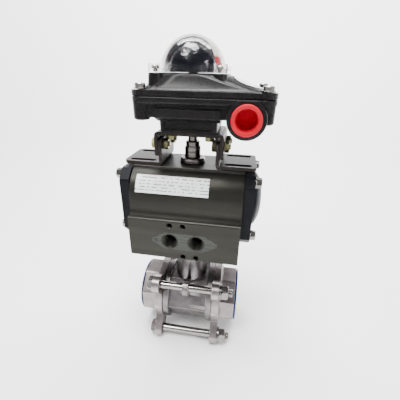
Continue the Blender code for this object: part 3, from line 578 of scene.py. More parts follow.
def printedLabel(name, look, rows="Z", across="X"):
    # plain rows of broken grey lines, with nothing that can be read, above the height inkFrom
    material, tree, shader, mapping = startMaterial(name, look)
    parts = tree.nodes.new("ShaderNodeSeparateXYZ")
    tree.links.new(mapping.outputs["Vector"], parts.inputs["Vector"])
    place = addMath(tree, "DIVIDE", parts.outputs[rows], look["rowPitch"] * mm)
    inRow = addMath(tree, "LESS_THAN", addMath(tree, "FRACT", place), look["rowShare"])
    level = addMath(tree, "FLOOR", place)
    spot = tree.nodes.new("ShaderNodeCombineXYZ")
    tree.links.new(addMath(tree, "MULTIPLY", parts.outputs[across], look["dash"]), spot.inputs["X"])
    tree.links.new(addMath(tree, "MULTIPLY", level, look["rowShift"]), spot.inputs["Y"])
    dashes = tree.nodes.new("ShaderNodeTexNoise")
    dashes.inputs["Scale"].default_value = 1.0
    dashes.inputs["Detail"].default_value = 1.0
    tree.links.new(spot.outputs["Vector"], dashes.inputs["Vector"])
    written = addMath(tree, "GREATER_THAN", dashes.outputs["Fac"], 0.5)
    inside = addMath(tree, "GREATER_THAN", parts.outputs[rows], look["inkFrom"] * mm)
    ink = addMath(tree, "MULTIPLY", addMath(tree, "MULTIPLY", inRow, written), inside)
    paper = addBlend(
        tree, addRange(tree, addNoise(tree, mapping, 90.0), 0.0, 1.0), look["paper"], look["shade"]
    )
    colour = addBlend(tree, addMath(tree, "MULTIPLY", ink, look["inkShare"]), paper, look["ink"])
    tree.links.new(colour, shader.inputs["Base Color"])
    addBump(tree, shader, addNoise(tree, mapping, 160.0), 0.02)
    return material


# every look, with the name of its material
grainedLooks = {
    "cast": ("blastedStainless", castLook),
    "hub": ("machinedStainless", hubLook),
    "polished": ("polishedStainless", polishedLook),
    "screw": ("screwStainless", screwLook),
    "shaft": ("shaftStainless", shaftLook),
    "ball": ("mirrorStainless", ballLook),
    "blue": ("bluePolyethylene", blueLook),
    "anodised": ("hardAnodised", anodisedLook),
    "aluminium": ("castAluminium", castAluminiumLook),
    "coated": ("blackCoating", coatedLook),
    "navy": ("navyBlackCoating", navyLook),
    "bracket": ("brownBlackSteel", bracketLook),
    "brass": ("passivatedBrass", brassLook),
    "red": ("redPlastic", redLook),
    "litWellRed": ("litWellRedPlastic", litWellRedLook),
    "yellow": ("yellowPlastic", yellowLook),
    "ptfe": ("whiteSeat", ptfeLook),
    "switch": ("blackSwitch", switchLook),
    "spring": ("springSteel", springLook),
    "terminal": ("creamTerminal", terminalLook),
    "mask": ("glossMask", maskLook),
    "cream": ("creamPlastic", creamLook),
    "film": ("portFilmPlastic", filmLook),
}
finishes = {look: grained(*named) for look, named in grainedLooks.items()}
finishes["clear"] = clearPlastic()
finishes["label"] = printedLabel("printedLabel", labelLook)
finishes["sticker"] = printedLabel("printedSticker", stickerLook, "Y", "X")
finishes["stickerEdge"] = finishes["navy"]
makeCamera()
makeStudio()
print("camera, studio and finishes ready")


# fasteners, shared by every sub-part
def hexPrism(name, flats, low, high, centre, axis="X", turn=0.0, crown=0.9, ends=(1, 1)):
    # a hexagon whose corners are turned off at the ends named by 1
    corner = flats / math.sqrt(3)
    prism = slab(name, polygon(6, corner, centre, turn), low, high, axis)
    profile = [(0, low - 0.01)]
    if ends[0]:
        profile += [(flats / 2 - 0.05, low - 0.01), (corner + 0.1, low + crown)]
    else:
        profile += [(corner + 0.1, low - 0.01)]
    if ends[1]:
        profile += [(corner + 0.1, high - crown), (flats / 2 - 0.05, high + 0.01)]
    else:
        profile += [(corner + 0.1, high + 0.01)]
    profile.append((0, high + 0.01))
    places = {"X": (0, *centre), "Y": (centre[0], 0, centre[1]), "Z": (*centre, 0)}
    crowned = turned("crown", profile, places[axis], axis, 48)
    return combine(prism, [("INTERSECT", crowned)])


def threadProfile(radius, low, high, pitch=1.0, depth=0.45):
    # a screw thread seen from the side, from its run-out to its chamfered tip
    points = [(0, low), (radius, low)]
    place = low
    while place + pitch < high - depth:
        points += [
            (radius, place + pitch * 0.15), (radius - depth, place + pitch * 0.55), (radius, place + pitch)
        ]
        place += pitch
    points += [(radius - depth, high), (0, high)]
    return points


def flipped(profile, sign):
    return [(radius, sign * height) for radius, height in profile]


# valve body
valveBody = {
    "hexRadius": 33.0, "hexHalf": 21.5, "collarRadius": 34.0, "collarIn": 20.5, "collarOut": 27.0,
    "cavity": 23.0, "neckRadius": 17.0, "neckFlare": 2.6, "padHalf": 25.0, "padThick": 10.0,
    "padCorner": 7.0, "padHole": 17.7, "lugRadius": 8.5, "lugHalf": 2.75, "boltRadius": 4.0,
    "stemBore": 6.3, "glandBore": 10.0, "glandDepth": 8.4, "padTap": 3.3, "markOuter": 5.0,
    "markInner": 4.1, "markRise": 0.45, "markBar": 2.4, "markBarHalf": 0.55, "neckStart": 14.0,
    "neckFoot": 26.0, "footRound": 4.0, "headRound": 3.0, "roundSteps": 12, "lugRootY": 0.55,
    "lugRootZ": 0.62,
}


def boltPlaces():
    # number, y and z of each long bolt
    places = []
    for number in range(1, 5):
        low, high = spanOf(f"body_nut_{number}")
        places.append((number, (low.y + high.y) / 2, (low.z + high.z) / 2))
    return places


def makeValveBody():
    v = valveBody
    hexagon = polygon(6, v["hexRadius"], (0, boreHeight))
    body = slab("valveBodyCasting", softened(hexagon, 1.6, 3), -v["hexHalf"], v["hexHalf"], "X")
    steps = []
    for sign in sides.values():
        first, last, radius = v["collarIn"], v["collarOut"], v["collarRadius"]
        profile = [
            (0, first), (radius - 0.9, first), (radius, first + 0.7), (radius, last - 0.5),
            (radius - 0.5, last), (0, last)
        ]
        steps += joined(turned("collar", flipped(profile, sign), (0, 0, boreHeight), "X", 96))
    radius, flare = v["neckRadius"], v["neckFlare"]
    start, foot, head = boreHeight + v["neckStart"], boreHeight + v["neckFoot"], padTop - v["padThick"]
    footRound, headRound = v["footRound"], v["headRound"]
    neck = [(0, start), (radius + flare, start), (radius + flare, foot)]
    lifts = [math.radians(90 * step / v["roundSteps"]) for step in range(v["roundSteps"] + 1)]
    for lift in lifts[1:]:
        neck.append((radius + flare * (1 - math.sin(lift)), foot + footRound * (1 - math.cos(lift))))
    for lift in lifts[:-1]:
        bend = headRound * (1 - math.cos(lift))
        neck.append((radius + bend, head - headRound + headRound * math.sin(lift)))
    neck += [(radius + headRound, head + 2), (0, head + 2)]
    steps += joined(turned("neck", neck, (0, 0, 0), "Z", 96))
    half = v["padHalf"]
    steps += joined(slab("pad", roundedRectangle(-half, half, -half, half, v["padCorner"]), head, padTop))
    for _, y, z in boltPlaces():
        if z < boreHeight:
            continue
        root = (y * v["lugRootY"], boreHeight + (z - boreHeight) * v["lugRootZ"])
        steps += joined(slab("lug", stadium(root, (y, z), v["lugRadius"]), -v["lugHalf"], v["lugHalf"], "X"))
        steps += removed(rod("lugHole", (-5, y, z), (5, y, z), v["boltRadius"] + 0.3, 32))
    reach = v["collarOut"] + 2
    steps += removed(rod("cavity", (-reach, 0, boreHeight), (reach, 0, boreHeight), v["cavity"], 72))
    steps += removed(rod("stemBore", (0, 0, boreHeight), (0, 0, padTop + 1), v["stemBore"], 36))
    steps += removed(
        rod("glandBore", (0, 0, padTop - v["glandDepth"]), (0, 0, padTop + 1), v["glandBore"], 36)
    )
    for x, y in fourCorners(v["padHole"], v["padHole"]):
        steps += removed(rod("padHole", (x, y, head - 2), (x, y, padTop + 2), v["padTap"], 24))
    dress(combine(body, steps), "root", "cast", ["valve_body"], 0.7, 3, 12.0)
    makeCastMark()


def makeCastMark():
    # a plain raised ring with a bar across it, on the lower front flat
    v = valveBody
    outer, inner, rise, bar = v["markOuter"], v["markInner"], v["markRise"], v["markBar"]
    ring = turned("castMark", [(outer, 0), (outer, rise), (inner, rise), (inner, 0)], ring=True, steps=48)
    bar = slab("bar", stadium((-bar, 0), (bar, 0), v["markBarHalf"], 6), 0, rise)
    mark = mergeObjects("castMark", [ring, bar])
    flat = v["hexRadius"] * math.cos(math.radians(30)) - 0.08
    lean = math.radians(210)
    turn = Matrix.Rotation(math.radians(120), 4, "X")
    place = Matrix.Translation(Vector((0, flat * math.cos(lean), boreHeight + flat * math.sin(lean))) * mm)
    mark.data.transform(place @ turn)
    dress(mark, "root", "cast", edge=0.15)


# valve ends, with their ears and octagonal hubs
valveEnd = {
    "inner": 27.3, "flange": 7.7, "discRadius": 35.0, "earRadius": 9.3, "hubFlats": 56.0, "register": 22.7,
    "through": 15.0, "port": 20.0, "portDepth": 15.0, "earHole": 4.3, "throughFrom": 20.0,
    "registerFrom": 24.0, "shoulder": [(32.5, -1.0), (31.0, 0.6), (29.2, 1.6), (27.0, 2.2)],
    "octagonTurn": 22.5,
}


def earedOutline(radius, ears, earRadius):
    # a disc with one rounded ear per bolt, and short straight runs between ear and disc
    reach = math.hypot(*ears)
    lean = math.atan2(ears[1], ears[0])
    side = math.atan2(earRadius, reach)
    foot = math.asin(earRadius / radius) + 0.05
    headings = [lean, math.pi - lean, math.pi + lean, 2 * math.pi - lean]
    points = []
    for quarter, heading in enumerate(headings):
        following = headings[(quarter + 1) % 4] + (2 * math.pi if quarter == 3 else 0)
        for step in range(19):
            off = side * (step / 9 - 1)
            across = reach * math.sin(off)
            distance = reach * math.cos(off) + math.sqrt(max(earRadius**2 - across**2, 0))
            points.append((distance, heading + off))
        for step in range(15):
            start = heading + foot
            points.append((radius, start + (following - foot - start) * step / 14))
    return [(r * math.cos(a), boreHeight + r * math.sin(a)) for r, a in points]


def makeValveEnd(side):
    v = valveEnd
    sign = sides[side]
    node = "valve_end_" + side.lower()
    out = reachOf(node)[1]
    inner, outer = v["inner"], v["inner"] + v["flange"]
    places = boltPlaces()
    ears = (abs(places[0][1]), abs(places[0][2] - boreHeight))
    low, high = sorted((sign * inner, sign * outer))
    end = slab(side + "EndCasting", earedOutline(v["discRadius"], ears, v["earRadius"]), low, high, "X")
    turn = v["octagonTurn"]
    corner = v["hubFlats"] / 2 / math.cos(math.radians(turn))
    low, high = sorted((sign * (outer - 2), sign * out))
    hub = slab("hub", softened(polygon(8, corner, (0, boreHeight), turn), 2.2, 3), low, high, "X")
    shoulder = [(radius, outer + rise) for radius, rise in v["shoulder"]]
    shoulder = [(0, shoulder[0][1]), *shoulder, (0, shoulder[-1][1])]
    start, radius = v["registerFrom"], v["register"]
    register = [(0, start), (radius, start), (radius, inner + 1), (0, inner + 1)]
    steps = joined(hub, turned("shoulder", flipped(shoulder, sign), (0, 0, boreHeight), "X", 96))
    steps += joined(turned("register", flipped(register, sign), (0, 0, boreHeight), "X", 72))
    steps += removed(
        rod(
            "through", (sign * v["throughFrom"], 0, boreHeight), (sign * (out + 3), 0, boreHeight),
            v["through"], 64
        )
    )
    mouth = out - v["portDepth"]
    port = [
        (0, mouth), (v["port"], mouth), (v["port"], out - 1), (v["port"] + 1.4, out + 0.4), (0, out + 0.4)
    ]
    steps += removed(turned("port", flipped(port, sign), (0, 0, boreHeight), "X", 72))
    for _, y, z in places:
        steps += removed(
            rod("earHole", (sign * (inner - 2), y, z), (sign * (outer + 3), y, z), v["earHole"], 32)
        )
    dress(combine(end, steps), "root", "hub", [node], 0.6, 3)


# long body bolts, their nuts and washers
bodyBolt = {
    "radius": 4.0, "headThick": 5.0, "flats": 13.0, "threadFrom": 34.0, "pitch": 1.25, "washerRadius": 8.2,
    "washerThick": 2.0
}


def makeBodyBolts():
    b = bodyBolt
    for number, y, z in boltPlaces():
        low, high = spanOf(f"body_bolt_{number}")
        nutLow, nutHigh = spanOf(f"body_nut_{number}")
        under = low.x + b["headThick"]
        foot, head = under - 0.5, b["threadFrom"] + 0.3
        shank = [(0, foot), (b["radius"], foot), (b["radius"], head), (0, head)]
        pieces = [
            hexPrism("head", b["flats"], low.x, under, (y, z), "X", 0, 1.0, (1, 0)),
            turned("shank", shank, (0, y, z), "X", 48),
            turned(
                "thread", threadProfile(b["radius"], b["threadFrom"], high.x, b["pitch"]), (0, y, z), "X", 32
            ),
        ]
        bolt = mergeObjects(f"bodyBolt{number}", pieces)
        dress(bolt, "root", "polished", [f"body_bolt_{number}"], 0.2)
        nut = hexPrism(f"bodyNut{number}", b["flats"], nutLow.x, nutHigh.x, (y, z), "X", 12 * number, 1.0)
        nut = combine(
            nut, removed(rod("hole", (nutLow.x - 1, y, z), (nutHigh.x + 1, y, z), b["radius"] + 0.1, 32))
        )
        dress(nut, "root", "screw", [f"body_nut_{number}"], 0.2)
        hole, rim = b["radius"] + 0.25, b["washerRadius"]
        face, back = nutLow.x - b["washerThick"], nutLow.x - 0.05
        ring = [(hole, face), (rim, face), (rim, back), (hole, back)]
        washer = turned(f"bodyWasher{number}", ring, (0, y, z), "X", 48, ring=True)
        dress(washer, "root", "screw", edge=0.25)


# caps over the pipe ends
portCap = {"flangeThick": 1.6, "sleeve": 19.5, "recess": 17.9, "floor": 1.6}


def makePortCap(side):
    c = portCap
    sign = sides[side]
    node = "port_cap_" + side.lower()
    low, high = spanOf(node)
    radius = (high.z - low.z) / 2
    first, last = reachOf(node)
    face = last - c["flangeThick"]
    profile = [
        (0, first), (c["sleeve"] - 0.8, first), (c["sleeve"], first + 0.9), (c["sleeve"], face),
        (radius - 0.3, face), (radius, face + 0.35), (radius, last - 0.5), (radius - 0.5, last),
        (c["recess"] + 0.6, last), (c["recess"], last - 0.6), (c["recess"] - 0.3, first + c["floor"] + 0.8),
        (c["recess"] - 1.1, first + c["floor"]), (4.0, first + c["floor"]), (3.4, first + c["floor"] + 0.5),
        (0, first + c["floor"] + 0.5),
    ]
    cap = turned(side.lower() + "PortCap", flipped(profile, sign), (0, 0, boreHeight), "X", 96)
    dress(cap, "cap_" + side.lower(), "blue", [node], 0)


makeValveBody()
for side in sides:
    makeValveEnd(side)
    makePortCap(side)
makeBodyBolts()
print("valve ready")


# actuator body, one extrusion with its bores
actuator = {
    "blockTop": 160.3, "blockHalf": 47.0, "wallHalf": 39.5, "wallHeight": 35.0, "wallPower": 2.5,
    "bedHalf": 22.5,
    "cylinder": 28.5, "lowerJournal": 14.0, "upperJournal": 9.3, "portPitch": 24.0, "portHeight": 139.3,
    "portRadius": 6.5, "portDepth": 14.0, "faceDrop": 16.0, "tapRadius": 2.1, "bedHoleX": 40.0,
    "bedHoleY": 15.0,
    "portDrill": 2.6, "threadTurns": 7, "threadPitch": 1.6, "threadFrom": 1.2, "threadFoot": 6.15,
    "threadRoot": 6.32, "threadTip": 5.6, "journalGap": 15.0,
}


def wallHeightAt(y):
    a = actuator
    share = max(1 - (abs(y) / a["wallHalf"]) ** a["wallPower"], 0)
    return pistonHeight + a["wallHeight"] * share ** (1 / a["wallPower"])


def makeActuatorBody():
    a = actuator
    low = actuatorLow.z
    half, top, wall = a["blockHalf"], a["blockTop"], a["wallHalf"]
    ledge = [
        (half, top - 1.5), (half - 0.5, top - 0.6), (half - 1.5, top), (half - 3.2, top + 0.1),
        (half - 4.0, top - 0.7),
        (half - 4.8, top - 0.7), (half - 5.4, top + 0.2), (half - 6.4, top + 1.4), (half - 7.0, top + 2.4),
        (wall, top + 3.6),
    ]
    curve = [(wall, pistonHeight)]
    for step in range(1, 25):
        y = wall - (wall - a["bedHalf"]) * (step / 24) ** 2
        curve.append((y, wallHeightAt(y)))
    bed = [(a["bedHalf"] - 0.1, bedTop - 0.5), (a["bedHalf"] - 0.6, bedTop)]
    halfOutline = [(half - 0.6, low), (half, low + 0.6), *ledge, *curve, *bed]
    outline = halfOutline + [(-y, z) for y, z in reversed(halfOutline)]
    body = slab("actuatorExtrusion", outline, actuatorLow.x, actuatorHigh.x, "X")
    reach, gap = actuatorHigh.x + 1, a["journalGap"]
    steps = removed(rod("cylinder", (-reach, 0, pistonHeight), (reach, 0, pistonHeight), a["cylinder"], 96))
    steps += removed(rod("lowerJournal", (0, 0, low - 1), (0, 0, pistonHeight - gap), a["lowerJournal"], 64))
    steps += removed(
        rod("upperJournal", (0, 0, pistonHeight + gap), (0, 0, bedTop + 1), a["upperJournal"], 64)
    )
    face = -half
    for x in (-a["portPitch"] / 2, a["portPitch"] / 2):
        radius, deep, drill = a["portRadius"], -a["portDepth"], a["portDrill"]
        mouth = [(0, 1), (radius + 0.9, 1), (radius + 0.5, 0), (radius - 0.2, -0.7)]
        mouth += [(radius - 0.2, deep), (drill, deep), (drill, deep - 5), (0, deep - 5)]
        steps += removed(turned("airPort", mouth, (x, face, a["portHeight"]), "Y", 64))
    for x, lift in ((-a["portPitch"] / 2, 1), (0, 1), (0, -1), (a["portPitch"] / 2, -1)):
        place = a["portHeight"] + lift * a["faceDrop"]
        hole = [(0, 1), (2.9, 1), (2.7, 0), (a["tapRadius"], -0.7), (a["tapRadius"], -8), (0, -8.8)]
        steps += removed(turned("tap", hole, (x, face, place), "Y", 32))
    for x, y in fourCorners(a["bedHoleX"], a["bedHoleY"]):
        hole = [(0, 1), (2.8, 1), (2.6, 0), (a["tapRadius"], -0.6), (a["tapRadius"], -6), (0, -6.6)]
        steps += removed(turned("bedTap", hole, (x, y, bedTop), "Z", 32))
    dress(combine(body, steps), "root", "anodised", ["actuator_body"], 0.35, 2)
    for side, sign in sides.items():
        place = (sign * a["portPitch"] / 2, -a["blockHalf"], a["portHeight"])
        coils = []
        for turn in range(a["threadTurns"]):
            deep = a["threadFrom"] + a["threadPitch"] * turn
            ring = [(a["threadFoot"], -deep), (a["threadRoot"], -deep - 0.8), (a["threadTip"], -deep - 0.4)]
            coils.append(turned("coil", ring, place, "Y", 48, ring=True))
        dress(mergeObjects(f"airPortThread{side}", coils), "root", "anodised", edge=0)


portFilm = {
    "thick": 0.12, "left": -19.5, "right": 25.0, "half": 8.6, "waist": 4.4, "slim": 1.6, "tip": 31.0,
    "eyelet": 1.5
}


def makePortFilm():
    # a clear film that covers the ports' face in transit, cut out round both ports
    f, a = portFilm, actuator
    middle = a["portHeight"]
    upper = [
        (f["tip"], f["slim"], 2), (f["right"] + 1, f["waist"], 3), (f["right"] - 6, f["half"], 5),
        (f["left"] + 2, f["half"], 5), (f["left"] - 3, f["waist"], 3), (f["left"] - 9, f["slim"], 2),
    ]
    lower = [(x, -z, bend) for x, z, bend in reversed(upper)]
    order = lower[2:] + upper + lower[:2]
    outline = [(x, middle + z, bend) for x, z, bend in order]
    face = -a["blockHalf"]
    film = slab("portFilm", softened(outline, 3, 5), -face - 0.02, -face + f["thick"], "Y")
    steps = []
    for x in (-a["portPitch"] / 2, a["portPitch"] / 2):
        steps += removed(
            rod("round", (x, face - 2, middle), (x, face + 2, middle), a["portRadius"] + 1.6, 48)
        )
    steps += removed(
        rod("eyelet", (f["left"] - 5, face - 2, middle), (f["left"] - 5, face + 2, middle), f["eyelet"], 24)
    )
    dress(combine(film, steps), "root", "film", edge=0)


nameLabel = {"left": -44.5, "right": 20.5, "low": 181.0, "high": 194.6, "lift": 0.1, "thick": 0.1, "rows": 16}


def wallPoint(z, lift):
    # the front wall's point at height z, moved out along its normal
    a = actuator

    def depthAt(height):
        share = max(1 - ((height - pistonHeight) / a["wallHeight"]) ** a["wallPower"], 0)
        return a["wallHalf"] * share ** (1 / a["wallPower"])

    slope = (depthAt(z + 0.05) - depthAt(z - 0.05)) / 0.1
    length = math.hypot(1, slope)
    return -(depthAt(z) + lift / length), z - lift * slope / length


def makeNameLabel():
    n = nameLabel
    loops = []
    for layer in (n["lift"], n["lift"] + n["thick"]):
        loop = []
        for x in (n["left"], n["right"]):
            for step in range(n["rows"] + 1):
                share = step / n["rows"] if x == n["left"] else 1 - step / n["rows"]
                z = n["low"] + (n["high"] - n["low"]) * share
                y, height = wallPoint(z, layer)
                loop.append((x, y, height))
        loops.append(loop)
    edit = bmesh.new()
    rows = [[edit.verts.new(Vector(point) * mm) for point in loop] for loop in loops]
    bandBetween(edit, *rows)
    for row in rows:
        for step in range(n["rows"]):
            edit.faces.new((row[step], row[step + 1], row[-2 - step], row[-1 - step]))
    bmesh.ops.recalc_face_normals(edit, faces=edit.faces)
    dress(objectFrom("nameLabel", edit), "root", "label", edge=0)


# end covers with their domed bosses
endCover = {
    "halfY": 36.0, "halfZ": 33.0, "chamfer": 8.5, "drop": 1.0, "boss": 25.5, "pocket": 28.2, "pocketTo": 56.0,
    "plateThick": 8.7, "headFlats": 8.0, "headThick": 4.4,
}


def makeEndCover(side):
    c = endCover
    sign = sides[side]
    node = "end_cover_" + side.lower()
    inner, out = reachOf(node)
    plate = inner + c["plateThick"]
    middle = pistonHeight - c["drop"]
    y, z, cut = c["halfY"], c["halfZ"], c["chamfer"]
    outline = [
        (y, middle - z + cut), (y, middle + z - cut), (y - cut, middle + z), (cut - y, middle + z),
        (-y, middle + z - cut), (-y, middle - z + cut), (cut - y, middle - z), (y - cut, middle - z),
    ]
    first, last = sorted((sign * inner, sign * plate))
    cover = slab(side.lower() + "EndCover", softened(outline, 3.0, 5), first, last, "X")
    rise = out - plate
    profile = [(0, rise), (4.5, rise), (5.2, rise - 0.5), (5.9, rise)]
    for step in range(1, 13):
        share = step / 12
        profile.append((5.9 + (c["boss"] - 7.4) * share, rise - 0.2 - (rise - 3.4) * share**2.4))
    edge = c["boss"]
    profile += [
        (edge - 0.6, 2.4), (edge, 1.2), (edge + 0.5, 0.3), (edge + 1.6, 0), (edge + 1.6, -1.5), (0, -1.5)
    ]
    boss = turned("boss", flipped(profile, sign), (sign * plate, 0, pistonHeight), "X", 96)
    pocket = rod(
        "pocket", (sign * (inner - 1), 0, pistonHeight), (sign * c["pocketTo"], 0, pistonHeight),
        c["pocket"], 96
    )
    steps = joined(boss) + removed(pocket)
    for number in range(1, 5):
        spot = middleOf(f"cover_screw_{side.lower()}_{number}")
        seat = [(0, plate - 0.5), (5.3, plate - 0.5), (5.7, plate + 0.2), (5.7, plate + 9), (0, plate + 9)]
        steps += removed(turned("seat", flipped(seat, sign), (0, spot.y, spot.z), "X", 40))
    dress(combine(cover, steps), "root", "navy", [node], 0.8, 3)
    for number in range(1, 5):
        name = f"cover_screw_{side.lower()}_{number}"
        spot = middleOf(name)
        tip = reachOf(name)[1]
        first, last = sorted((sign * (tip - c["headThick"]), sign * tip))
        ends = (0, 1) if sign > 0 else (1, 0)
        head = hexPrism(
            "head", c["headFlats"], first, last, (spot.y, spot.z), "X", 30 + 17 * number, 0.8, ends
        )
        flange = [(0, tip - 5.3), (4.9, tip - 5.3), (5.1, tip - 5.0), (4.9, tip - 4.5), (0, tip - 4.1)]
        washer = turned("washer", flipped(flange, sign), (0, spot.y, spot.z), "X", 40)
        screw = mergeObjects(f"{side.lower()}CoverScrew{number}", [head, washer])
        dress(screw, "root", "screw", [name], 0.18)


# drive head above the bed: ring, crown of the pinion and the switch box's coupling
driveHead = {
    "crown": 7.35, "slotHalf": 2.2, "slotDeep": 5.0, "ringIn": 7.55, "ringOut": 11.8, "collar": 6.4,
    "shaft": 4.15,
    "core": 6.6, "tongueLong": 6.0, "tongueHalf": 1.9,
}


def makeDriveHead():
    d = driveHead
    low, high = spanOf("thrust_ring")
    hole, rim = d["ringIn"], d["ringOut"]
    profile = [
        (hole, low.z), (rim - 0.3, low.z), (rim, low.z + 0.4), (rim, low.z + 1.5), (rim - 0.5, low.z + 1.8),
        (rim - 0.5, low.z + 2.1), (rim - 0.2, low.z + 2.3), (rim - 0.6, high.z - 0.7), (rim - 1.4, high.z),
        (hole + 1.6, high.z), (hole + 1.2, high.z - 0.7), (hole, high.z - 0.7),
    ]
    ring = turned("thrustRing", profile, (0, 0, 0), "Z", 96, ring=True)
    dress(ring, "root", "hub", ["thrust_ring"], 0, slotName="polished_stainless")
    top = spanOf("pinion")[1].z
    foot = low.z
    rim = d["crown"]
    crown = [(0, foot), (rim, foot), (rim, top - 4.6), (rim - 0.3, top - 4.2), (rim, top - 3.8)]
    crown += [(rim, top - 0.8), (rim - 0.7, top), (0, top)]
    head = turned("pinionCrown", crown, (0, 0, 0), "Z", 72)
    slot = block("slot", (-12, -d["slotHalf"], top - d["slotDeep"]), (12, d["slotHalf"], top + 2))
    core = rod("core", (0, 0, foot - 1), (0, 0, top - d["slotDeep"] - 2), d["core"], 48)
    dress(combine(head, removed(slot, core)), "drive", "shaft", edge=0.25)
    shaftLow, shaftHigh = spanOf("switch_shaft")
    long, half = d["tongueLong"], d["tongueHalf"]
    tongue = block("tongue", (-long, -half, shaftLow.z), (long, half, top + 1))
    collarLow = top + 0.3
    rim, neck = d["collar"], d["shaft"]
    collar = [(0, collarLow), (rim - 0.4, collarLow), (rim, collarLow + 0.4), (rim, collarLow + 4.1)]
    collar += [(rim - 0.6, collarLow + 4.6), (neck + 0.4, collarLow + 4.6), (neck, collarLow + 5.2)]
    collar += [(neck, shaftHigh.z - 0.5), (neck - 0.5, shaftHigh.z), (0, shaftHigh.z)]
    shaft = combine(turned("switchShaft", collar, (0, 0, 0), "Z", 72), joined(tongue))
    dress(shaft, "drive", "shaft", ["switch_shaft"], 0.2)


makeActuatorBody()
makePortFilm()
makeNameLabel()
for side in sides:
    makeEndCover(side)
makeDriveHead()
print("actuator ready")


# bent steel bracket: a bridge under the switch box and two feet
bracket = {
    "sheet": 3.0, "outerBend": 4.2, "innerBend": 1.2, "shaftHole": 9.0, "plateHoleX": 17.0,
    "plateHoleY": 12.0,
    "plateHole": 2.6, "legHole": 2.8, "slotY": 15.0, "slotFrom": 34.0, "slotTo": 52.2, "slotRadius": 2.8,
    "footCorner": 5.0, "legCorner": 3.0,
}


def makeBridge():
    b = bracket
    low, high = spanOf("bracket_top")
    sheet = b["sheet"]
    outline = [
        (low.x, low.z, 0), (low.x, high.z, b["outerBend"]), (high.x, high.z, b["outerBend"]),
        (high.x, low.z, 0),
        (high.x - sheet, low.z, 0), (high.x - sheet, high.z - sheet, b["innerBend"]),
        (low.x + sheet, high.z - sheet, b["innerBend"]), (low.x + sheet, low.z, 0),
    ]
    bridge = slab("bracketBridge", softened(outline, 0, 8), -high.y, -low.y, "Y")
    trim = roundedRectangle(low.y, high.y, low.z, high.z + 20, b["legCorner"], 6)
    steps = [("INTERSECT", slab("trim", trim, low.x - 1, high.x + 1, "X"))]
    steps += removed(rod("shaftHole", (0, 0, high.z - 5), (0, 0, high.z + 1), b["shaftHole"], 64))
    for x, y in fourCorners(b["plateHoleX"], b["plateHoleY"]):
        steps += removed(rod("plateHole", (x, y, high.z - 5), (x, y, high.z + 1), b["plateHole"], 32))
    for y, z in legPlaces():
        steps += removed(rod("legHole", (low.x - 1, y, z), (high.x + 1, y, z), b["legHole"], 32))
    dress(combine(bridge, steps), "root", "bracket", ["bracket_top"], 0.4, 3)


def legPlaces():
    spots = [middleOf(f"bracket_bolt_{number}") for number in (1, 2)]
    return [(spot.y, spot.z) for spot in spots]


def makeFoot(side):
    b = bracket
    sign = sides[side]
    node = "bracket_foot_" + side.lower()
    low, high = spanOf(node)
    inner, out = reachOf(node)
    sheet = b["sheet"]
    outline = [
        (inner, low.z, b["outerBend"]), (out, low.z, 0), (out, low.z + sheet, 0),
        (inner + sheet, low.z + sheet, b["innerBend"]),
        (inner + sheet, high.z, 0), (inner, high.z, 0),
    ]
    outline = [(sign * x, z, bend) for x, z, bend in outline]
    foot = slab(side.lower() + "Foot", softened(outline, 0, 8), -high.y, -low.y, "Y")
    left, right = sorted((sign * out, sign * (inner - 20)))
    plan = roundedRectangle(left, right, low.y, high.y, b["footCorner"], 8)
    legTrim = roundedRectangle(low.y, high.y, low.z - 20, high.z, b["legCorner"], 6)
    first, last = sorted((sign * (inner - 1), sign * (out + 1)))
    steps = [
        ("INTERSECT", slab("plan", plan, low.z - 1, high.z + 1)),
        ("INTERSECT", slab("legTrim", legTrim, first, last, "X"))
    ]
    for y in (-b["slotY"], b["slotY"]):
        ends = (sign * b["slotFrom"], y), (sign * b["slotTo"], y)
        steps += removed(slab("slot", stadium(*ends, b["slotRadius"]), low.z - 1, low.z + sheet + 1))
    for y, z in legPlaces():
        first, last = sorted((sign * (inner - 3), sign * (inner + sheet + 3)))
        steps += removed(rod("legHole", (first, y, z), (last, y, z), b["legHole"], 32))
    dress(combine(foot, steps), "root", "bracket", [node], 0.45, 3)


bracketBolt = {
    "flats": 9.0, "headThick": 4.0, "radius": 2.5, "nutThick": 4.2, "plateFlats": 8.0, "plateThick": 3.8,
    "ringThick": 0.9, "nutFromTip": 5.5,
}


def makeBracketBolts():
    b = bracketBolt
    for number in range(1, 5):
        low, high = spanOf(f"bracket_bolt_{number}")
        spot = (low + high) / 2
        place = (spot.y, spot.z)
        under = low.x + b["headThick"]
        pieces = [
            hexPrism("head", b["flats"], low.x, under, place, "X", 30 + 11 * number, 0.8, (1, 0)),
            turned("thread", threadProfile(b["radius"], under - 0.5, high.x, 0.8, 0.3), (0, *place), "X", 32),
        ]
        bolt = mergeObjects(f"bracketBolt{number}", pieces)
        dress(bolt, "root", "brass", [f"bracket_bolt_{number}"], 0.15)
        start = high.x - b["nutFromTip"] if number > 2 else spanOf("bracket_foot_left")[1].x + 0.3
        nut = hexPrism(
            f"bracketNut{number}", b["flats"], start, start + b["nutThick"], place, "X", 25 * number, 0.7
        )
        nut = combine(
            nut, removed(rod("hole", (start - 1, *place), (start + 9, *place), b["radius"] + 0.05, 24))
        )
        dress(nut, "root", "brass", edge=0.15)
    under = plateTop - bracket["sheet"]
    top = under - b["ringThick"]
    for number, (x, y) in enumerate(fourCorners(bracket["plateHoleX"], bracket["plateHoleY"]), 1):
        place = (x, y)
        head = hexPrism(
            "head", b["plateFlats"], top - b["plateThick"], top, place, "Z", 14 * number, 0.7, (1, 0)
        )
        profile = [(0, top), (4.6, top), (4.8, top + 0.2), (4.6, under - 0.05), (0, under - 0.05)]
        screw = mergeObjects(f"plateScrew{number}", [head, turned("ring", profile, (x, y, 0), "Z", 40)])
        dress(screw, "root", "brass", edge=0.15)


makeBridge()
for side in sides:
    makeFoot(side)
makeBracketBolts()
print("bracket ready")


